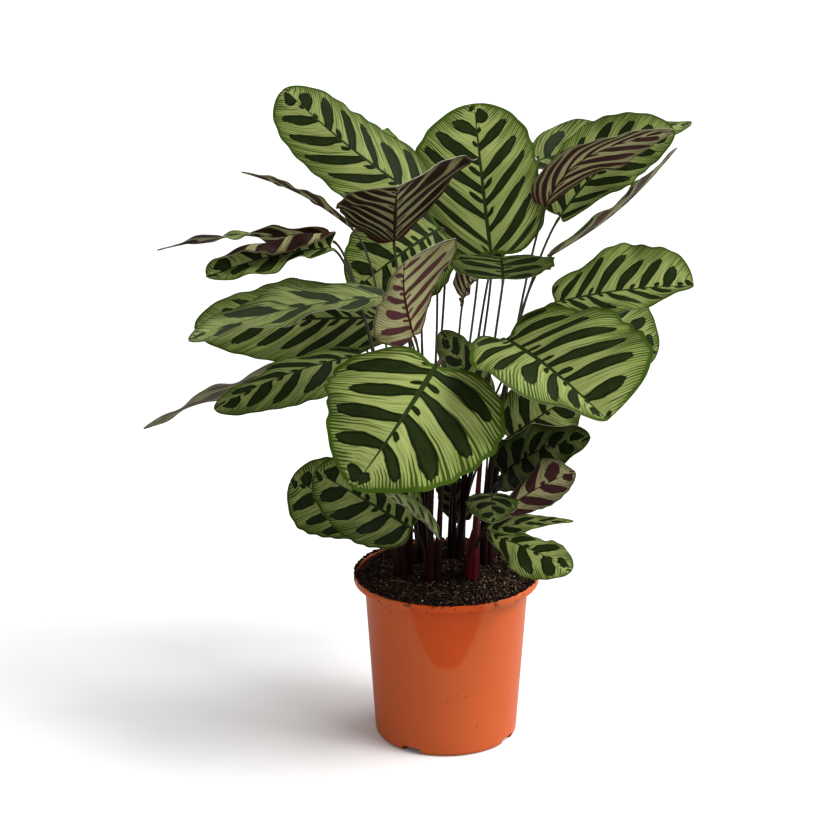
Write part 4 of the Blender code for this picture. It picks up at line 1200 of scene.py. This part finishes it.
def make_pot_plastic():
    """Terracotta-coloured plastic with a patch of painted shade on the front, soil specks and a soiled
    lip.
    """
    material, tree, shader = new_material("pot_plastic")
    point = object_point(tree)
    x, y, z = parts_of(tree, point)
    tone = speckle(tree, point, 9.0, 2.0)
    colour = paint(tree, tone, PLASTIC_DARK, PLASTIC_LIGHT)
    # The deeper orange patch below the lip is painted shade from the leaves above.
    painted_shade = times(tree, painted_shade_patch(tree, x, y, z), 0.95)
    colour = paint(tree, painted_shade, colour, SHADED_ORANGE)
    fine = speckle(tree, point, 420.0, 2.0)
    where = speckle(tree, point, 24.0, 2.0)
    speck = calc(tree, "MULTIPLY", ease(tree, fine, 0.66, 0.71), ease(tree, where, 0.50, 0.60))
    high = ease(tree, z, 0.158, 0.176)
    smear = speckle(tree, point, 130.0, 4.0, 0.6)
    smudge = calc(tree, "MULTIPLY", ease(tree, smear, 0.56, 0.64), high)
    dirt = calc(tree, "MAXIMUM", times(tree, speck, 0.85), times(tree, smudge, 0.85))
    colour = paint(tree, dirt, colour, SOIL_STAIN)
    feed(tree, shader.inputs["Base Color"], colour)
    dull = ease(tree, where, 0.2, 0.8, 0.29, 0.36)
    feed(tree, shader.inputs["Roughness"], times(tree, dirt, 0.4, dull))
    shader.inputs["Specular IOR Level"].default_value = 0.22
    wobble = times(tree, dirt, 0.6, times(tree, speckle(tree, point, 900.0, 2.0), 0.12))
    feed(tree, shader.inputs["Normal"], relief(tree, wobble, 0.0004, 0.5))
    return material


POT_PLASTIC = make_pot_plastic()
print("pot plastic:", len(POT_PLASTIC.node_tree.nodes), "nodes")

# %% [markdown]
# ## Pot section
# A nursery pot is one thin moulding: a rolled lip, a smooth tapered wall and a soft bottom corner. It
# is round, so its section is drawn once, from the middle of the base round the lip to the middle of
# the floor, and spun round the axis.

# %% Pot section
POT_TOP_RADIUS = 95.0
POT_HEIGHT = 174.0
POT_BASE_RADIUS = 72.8
POT_NECK_RADIUS = 84.0
POT_WALL = 1.6
POT_FLOOR = 2.0
LIP_DROP = 8.0
LIP_ROUND = 2.6
LIP_TOP_ROUND = 1.6
LIP_INNER_ROUND = 1.2
BASE_FILLET = 5.0
POT_STEPS = 144
NECK_Z = POT_HEIGHT - LIP_DROP
MOUTH_RADIUS = POT_TOP_RADIUS - 2 * POT_WALL


def wall_radius(height):
    """Outer radius of the tapered wall."""
    return POT_BASE_RADIUS + (POT_NECK_RADIUS - POT_BASE_RADIUS) * height / NECK_Z


def arc(centre, radius, start, end, steps):
    """Points on an arc, with angles in degrees from the outward direction."""
    angles = [math.radians(start + (end - start) * step / steps) for step in range(steps + 1)]
    return [(centre[0] + radius * math.cos(a), centre[1] + radius * math.sin(a)) for a in angles]


def pot_section():
    """The half section, from the middle of the base round the lip to the middle of the floor."""
    foot = (wall_radius(BASE_FILLET) - BASE_FILLET, BASE_FILLET)
    section = [(0.0, 0.0), (0.5 * foot[0], 0.0)]
    section += arc(foot, BASE_FILLET, -90, 0, 7)
    for share in (0.15, 0.35, 0.55, 0.75, 0.92):
        height = BASE_FILLET + (NECK_Z - BASE_FILLET) * share
        section.append((wall_radius(height), height))
    section.append((POT_NECK_RADIUS - 0.3, NECK_Z - 1.2))
    section.append((POT_NECK_RADIUS + 0.5, NECK_Z - 0.1))
    section += arc((POT_TOP_RADIUS - LIP_ROUND, NECK_Z + LIP_ROUND), LIP_ROUND, -90, 0, 5)
    section += arc((POT_TOP_RADIUS - LIP_TOP_ROUND, POT_HEIGHT - LIP_TOP_ROUND), LIP_TOP_ROUND, 0, 90, 5)
    section += arc((MOUTH_RADIUS + LIP_INNER_ROUND, POT_HEIGHT - LIP_INNER_ROUND), LIP_INNER_ROUND,
                   90, 180, 4)
    section += [(MOUTH_RADIUS, NECK_Z + POT_WALL + 1.5), (MOUTH_RADIUS - 1.5, NECK_Z + POT_WALL)]
    section += [(POT_NECK_RADIUS - POT_WALL + 1.0, NECK_Z + POT_WALL)]
    section += [(POT_NECK_RADIUS - POT_WALL, NECK_Z + 0.6)]
    section += [(wall_radius(POT_FLOOR + 4.0) - POT_WALL, POT_FLOOR + 4.0)]
    section += [(wall_radius(POT_FLOOR) - POT_WALL - 4.0, POT_FLOOR), (0.0, POT_FLOOR)]
    return section


def spun(section, steps):
    """A bmesh of a section spun once round the upright axis."""
    bm = bmesh.new()
    verts = [bm.verts.new((radius * MM, 0.0, height * MM)) for radius, height in section]
    edges = [bm.edges.new(pair) for pair in zip(verts, verts[1:])]
    bmesh.ops.spin(bm, geom=verts + edges, cent=(0.0, 0.0, 0.0), axis=(0.0, 0.0, 1.0),
                   dvec=(0.0, 0.0, 0.0), angle=2 * math.pi, steps=steps, use_merge=True,
                   use_normal_flip=False, use_duplicate=False)
    bmesh.ops.remove_doubles(bm, verts=bm.verts, dist=1e-6)
    bmesh.ops.recalc_face_normals(bm, faces=bm.faces)
    return bm


print("pot section:", len(pot_section()), "points")

# %% [markdown]
# ## Pot
# Water leaves through four notches in the bottom corner. They are cut with round-cornered boxes,
# because a cut gives the clean steps of the mould.

# %% Pot
NOTCH_ANGLES = (-30.0, 60.0, 150.0, 240.0)
NOTCH_WIDTH = 21.0
NOTCH_HEIGHT = 6.5
NOTCH_INNER_RADIUS = 58.0
NOTCH_ROUND = 1.5


def notch_cutter(angle):
    """A round-cornered box that lies along a radius, measured from the front towards the right."""
    bm = bmesh.new()
    bmesh.ops.create_cube(bm, size=1.0)
    reach = POT_TOP_RADIUS - NOTCH_INNER_RADIUS
    bmesh.ops.scale(bm, vec=Vector((NOTCH_WIDTH, reach, 2 * NOTCH_HEIGHT)) * MM, verts=bm.verts)
    upper = [edge for edge in bm.edges if all(vert.co.z > 0 for vert in edge.verts)
             and abs(edge.verts[0].co.x - edge.verts[1].co.x) < 1e-6]
    bmesh.ops.bevel(bm, geom=upper, offset=NOTCH_ROUND * MM, segments=4, profile=0.5, affect="EDGES",
                    material=-1)
    middle = Vector((0.0, -(NOTCH_INNER_RADIUS + reach / 2), 0.0)) * MM
    bmesh.ops.translate(bm, vec=middle, verts=bm.verts)
    turn = Matrix.Rotation(math.radians(angle), 3, "Z")
    bmesh.ops.rotate(bm, cent=(0.0, 0.0, 0.0), matrix=turn, verts=bm.verts)
    mesh = bpy.data.meshes.new("notch_cutter")
    bm.to_mesh(mesh)
    bm.free()
    cutter = bpy.data.objects.new("notch_cutter", mesh)
    bpy.context.scene.collection.objects.link(cutter)
    return cutter


def apply_modifiers(piece):
    """Replace a piece's mesh by the one that its modifiers give."""
    depsgraph = bpy.context.evaluated_depsgraph_get()
    depsgraph.update()
    mesh = bpy.data.meshes.new_from_object(piece.evaluated_get(depsgraph))
    old = piece.data
    piece.modifiers.clear()
    piece.data = mesh
    bpy.data.meshes.remove(old)


def make_pot():
    """The pot with its four notches."""
    pot = new_piece("nursery_pot", spun(pot_section(), POT_STEPS), ["pot"], (POT_PLASTIC,))
    cutters = [notch_cutter(angle) for angle in NOTCH_ANGLES]
    for cutter in cutters:
        hole = pot.modifiers.new("notch", "BOOLEAN")
        hole.operation = "DIFFERENCE"
        hole.solver = "EXACT"
        hole.object = cutter
    apply_modifiers(pot)
    for cutter in cutters:
        bpy.data.objects.remove(cutter, do_unlink=True)
    pot.data.shade_smooth()
    pot.data.set_sharp_from_angle(angle=math.radians(38))
    return pot


nursery_pot = make_pot()
print("pot:", len(nursery_pot.data.polygons), "faces")

# %% [markdown]
# ## Soil materials
# Potting soil is nearly black peat with browner clods, white perlite and tan fibres of bark. All four
# are dull and mottled, so one recipe with four pairs of colours makes them.

# %% Soil materials
def make_soil_material(name, dark, light, roughness):
    """Dull, mottled material for crumbs and grains."""
    material, tree, shader = new_material(name)
    point = object_point(tree)
    mottle = speckle(tree, point, 260.0, 4.0, 0.65)
    feed(tree, shader.inputs["Base Color"], paint(tree, ease(tree, mottle, 0.3, 0.7), dark, light))
    shader.inputs["Roughness"].default_value = roughness
    shader.inputs["Specular IOR Level"].default_value = 0.1
    feed(tree, shader.inputs["Normal"], relief(tree, speckle(tree, point, 900.0, 4.0, 0.7), 0.0012, 1.0))
    return material


PEAT = make_soil_material("peat", (0.0022, 0.0009, 0.0004, 1.0), (0.024, 0.011, 0.0055, 1.0), 0.9)
CLOD = make_soil_material("clod", (0.007, 0.003, 0.0015, 1.0), (0.055, 0.028, 0.016, 1.0), 0.9)
PERLITE = make_soil_material("perlite", (0.34, 0.31, 0.28, 1.0), (0.75, 0.73, 0.70, 1.0), 0.8)
FIBRE = make_soil_material("fibre", (0.10, 0.050, 0.022, 1.0), (0.34, 0.22, 0.12, 1.0), 0.7)
print("soil materials: peat, clods, perlite and fibre")

# %% [markdown]
# ## Soil body
# The body fills the pot, and its dark top shows between the loose grains. It is spun like the pot.
# Its top has many rings, and noise of three sizes lifts them into a lumpy heap. Modelled grains all
# the way down would be lost, because only the top is ever seen.

# %% Soil body
SOIL_EDGE_Z = 170.5
SOIL_HEAP = 4.5
SOIL_FOOT_RADIUS = 55.0
SOIL_CORNER_Z = 9.0
SOIL_RINGS = 60
SOIL_STEPS = 180
SOIL_RADIUS = MOUTH_RADIUS - FIT_GAP
LUMPS = ((1.6, 16.0, 0.3), (0.9, 6.0, 4.1), (0.5, 2.6, 8.7))    # height and width in mm, noise layer


def soil_height(x, y):
    """Height of the lumpy soil, in millimetres."""
    radius = math.hypot(x, y) / SOIL_RADIUS
    heap = SOIL_EDGE_Z + SOIL_HEAP * (1 - radius * radius)
    lumps = sum(high * noise.noise(Vector((x / wide, y / wide, layer))) for high, wide, layer in LUMPS)
    return heap + lumps * min(1.0, 6.0 * max(0.0, 1.02 - radius))


def make_soil():
    """The body of soil that fills the pot."""
    inside = POT_WALL + FIT_GAP
    shelf = NECK_Z + POT_WALL + FIT_GAP
    section = [(0.0, POT_FLOOR + FIT_GAP), (SOIL_FOOT_RADIUS, POT_FLOOR + FIT_GAP)]
    section += [(wall_radius(SOIL_CORNER_Z) - inside, SOIL_CORNER_Z)]
    section += [(wall_radius(NECK_Z) - inside, shelf)]
    section += [(SOIL_RADIUS, shelf), (SOIL_RADIUS, SOIL_EDGE_Z - 0.6)]
    for ring in range(SOIL_RINGS):
        radius = SOIL_RADIUS * (1 - ring / SOIL_RINGS) - (0.4 if ring == 0 else 0.0)
        section.append((radius, SOIL_EDGE_Z))
    section.append((0.0, SOIL_EDGE_Z))
    bm = spun(section, SOIL_STEPS)
    for vert in bm.verts:
        if vert.co.z > (SOIL_EDGE_Z - 0.1) * MM:
            vert.co.z = soil_height(vert.co.x / MM, vert.co.y / MM) * MM
    return new_piece("soil_body", bm, ["soil"], (PEAT,))


soil_body = make_soil()
print("soil:", len(soil_body.data.polygons), "faces")

# %% [markdown]
# ## Loose soil
# Each crumb, clod or piece of bark or perlite is a small distorted ball, and a seeded draw places it,
# so that every run gives the same soil. Bark lies mostly in front on the right, and the soil is banked
# up behind.

# %% Crumbs, clods and perlite
ALL_ROUND = (0.0, 360.0)
FRONT_RIGHT = (-85.0, -15.0)
BEHIND = (5.0, 205.0)


def scatter_place(rng, inner=0.0, outer=1.0, sector=ALL_ROUND):
    """A seeded place on the soil, in millimetres."""
    radius = SOIL_RADIUS * math.sqrt(rng.uniform(inner ** 2, outer ** 2))
    angle = math.radians(rng.uniform(*sector))
    return radius * math.cos(angle), radius * math.sin(angle)


def add_grain(bm, rng, place, size):
    """A distorted ball, in millimetres."""
    grain = bmesh.ops.create_icosphere(bm, subdivisions=1, radius=1.0)["verts"]
    stretch = Vector((rng.uniform(0.7, 1.3), rng.uniform(0.7, 1.3), rng.uniform(0.5, 0.9)))
    turn = Matrix.Rotation(rng.uniform(0.0, 2 * math.pi), 3, "Z")
    turn = turn @ Matrix.Rotation(rng.uniform(-0.7, 0.7), 3, "X")
    for vert in grain:
        local = Vector(vert.co) * rng.uniform(0.72, 1.18)
        local = turn @ Vector((local.x * stretch.x, local.y * stretch.y, local.z * stretch.z))
        vert.co = (Vector(place) + local * size) * MM


def make_grains(name, material, amount, sizes, seed, raised, inner=0.0, outer=0.985, sector=ALL_ROUND):
    """A layer of loose grains in one sector of the soil, each raised by a share of its size."""
    rng = random.Random(seed)
    bm = bmesh.new()
    for step in range(amount):
        x, y = scatter_place(rng, inner, outer, sector)
        size = rng.uniform(*sizes) * rng.uniform(0.6, 1.0)
        room = SOIL_RADIUS - math.hypot(x, y) - 0.3
        size = min(size, max(0.35, room / 1.6))
        add_grain(bm, rng, (x, y, soil_height(x, y) + size * raised), size)
    bmesh.ops.recalc_face_normals(bm, faces=bm.faces)
    return new_piece(name, bm, [], (material,))


make_grains("soil_crumbs", PEAT, 1700, (1.0, 3.2), 5, 0.35)
make_grains("soil_dust", FIBRE, 420, (0.35, 0.8), 6, 1.6)
make_grains("soil_clods", CLOD, 320, (1.6, 3.6), 9, 0.55)
make_grains("soil_bark", FIBRE, 260, (0.5, 1.3), 10, 1.4, 0.45, 0.95, FRONT_RIGHT)
make_grains("soil_bank", PEAT, 420, (1.6, 2.8), 12, 0.6, 0.91, 0.975, BEHIND)
make_grains("soil_bank_top", CLOD, 380, (1.4, 2.4), 13, 1.5, 0.93, 0.975, BEHIND)
make_grains("soil_perlite", PERLITE, 120, (0.4, 1.1), 7, 1.5)
print("loose soil: crumbs, dust, clods, bark, bank and perlite")

# %% [markdown]
# ## Fibres
# Fine strands of root and bark catch the light on the soil. Each is a thin tube, like a stalk, bent
# along a short curve just above the soil.


# %% Fibres
def make_fibres(name, material, amount, seed):
    """Thin strands of root and bark, nearly straight, that lie on the soil."""
    rng = random.Random(seed)
    bm = bmesh.new()
    place_map = bm.loops.layers.uv.new("place")
    for step in range(amount):
        x, y = scatter_place(rng, 0.0, 0.9)
        length = rng.uniform(5.0, 17.0)
        heading = rng.uniform(0.0, 2 * math.pi)
        bend = rng.uniform(-0.6, 0.6)
        s = np.linspace(0.0, 1.0, 7)
        turned = heading + bend * (s - 0.5)
        px = x + length * (s - 0.5) * np.cos(turned)
        py = y + length * (s - 0.5) * np.sin(turned)
        lift = rng.uniform(0.5, 2.0)
        pz = np.array([soil_height(a, b) for a, b in zip(px, py)])
        pz = pz.mean() + 0.9 + lift * np.sin(math.pi * s) + rng.uniform(-1.0, 1.0) * (s - 0.5)
        if np.max(np.hypot(px, py)) > SOIL_RADIUS - 1.5:
            continue
        route = np.stack((px, py, pz), axis=1)
        headings = unit(np.gradient(route, axis=0))
        radii = rng.uniform(0.12, 0.24) * np.sin(math.pi * (0.12 + 0.76 * s)) ** 0.5
        add_tube(bm, place_map, route, headings, radii)
    bmesh.ops.holes_fill(bm, edges=[edge for edge in bm.edges if edge.is_boundary], sides=0)
    bmesh.ops.recalc_face_normals(bm, faces=bm.faces)
    return new_piece(name, bm, [], (material,))


soil_fibres = make_fibres("soil_fibres", FIBRE, 80, 8)
print("fibres:", len(soil_fibres.data.polygons), "faces")

# %% [markdown]
# ## Spilt crumbs
# Some crumbs fell on the rim of the pot when it was filled, and most of them were wiped off in front.
# They are the same distorted balls, laid on the ring between the mouth and the outer lip.


# %% Spilt crumbs
def make_spill(name, material, amount, seed):
    """Crumbs that lie on the rim of the pot, fewest at the front."""
    rng = random.Random(seed)
    bm = bmesh.new()
    for step in range(amount):
        angle = rng.uniform(0.0, 2 * math.pi)
        if rng.random() < 0.75 * max(0.0, -math.sin(angle)):
            continue
        size = rng.uniform(0.8, 1.9)
        radius = rng.uniform(SOIL_RADIUS + 0.4, POT_TOP_RADIUS - 0.8)
        place = (radius * math.cos(angle), radius * math.sin(angle), POT_HEIGHT + 0.75 * size)
        add_grain(bm, rng, place, size)
    bmesh.ops.recalc_face_normals(bm, faces=bm.faces)
    return new_piece(name, bm, [], (material,))


soil_spill = make_spill("soil_spill", PEAT, 620, 11)
print("spilt crumbs:", len(soil_spill.data.polygons), "faces")
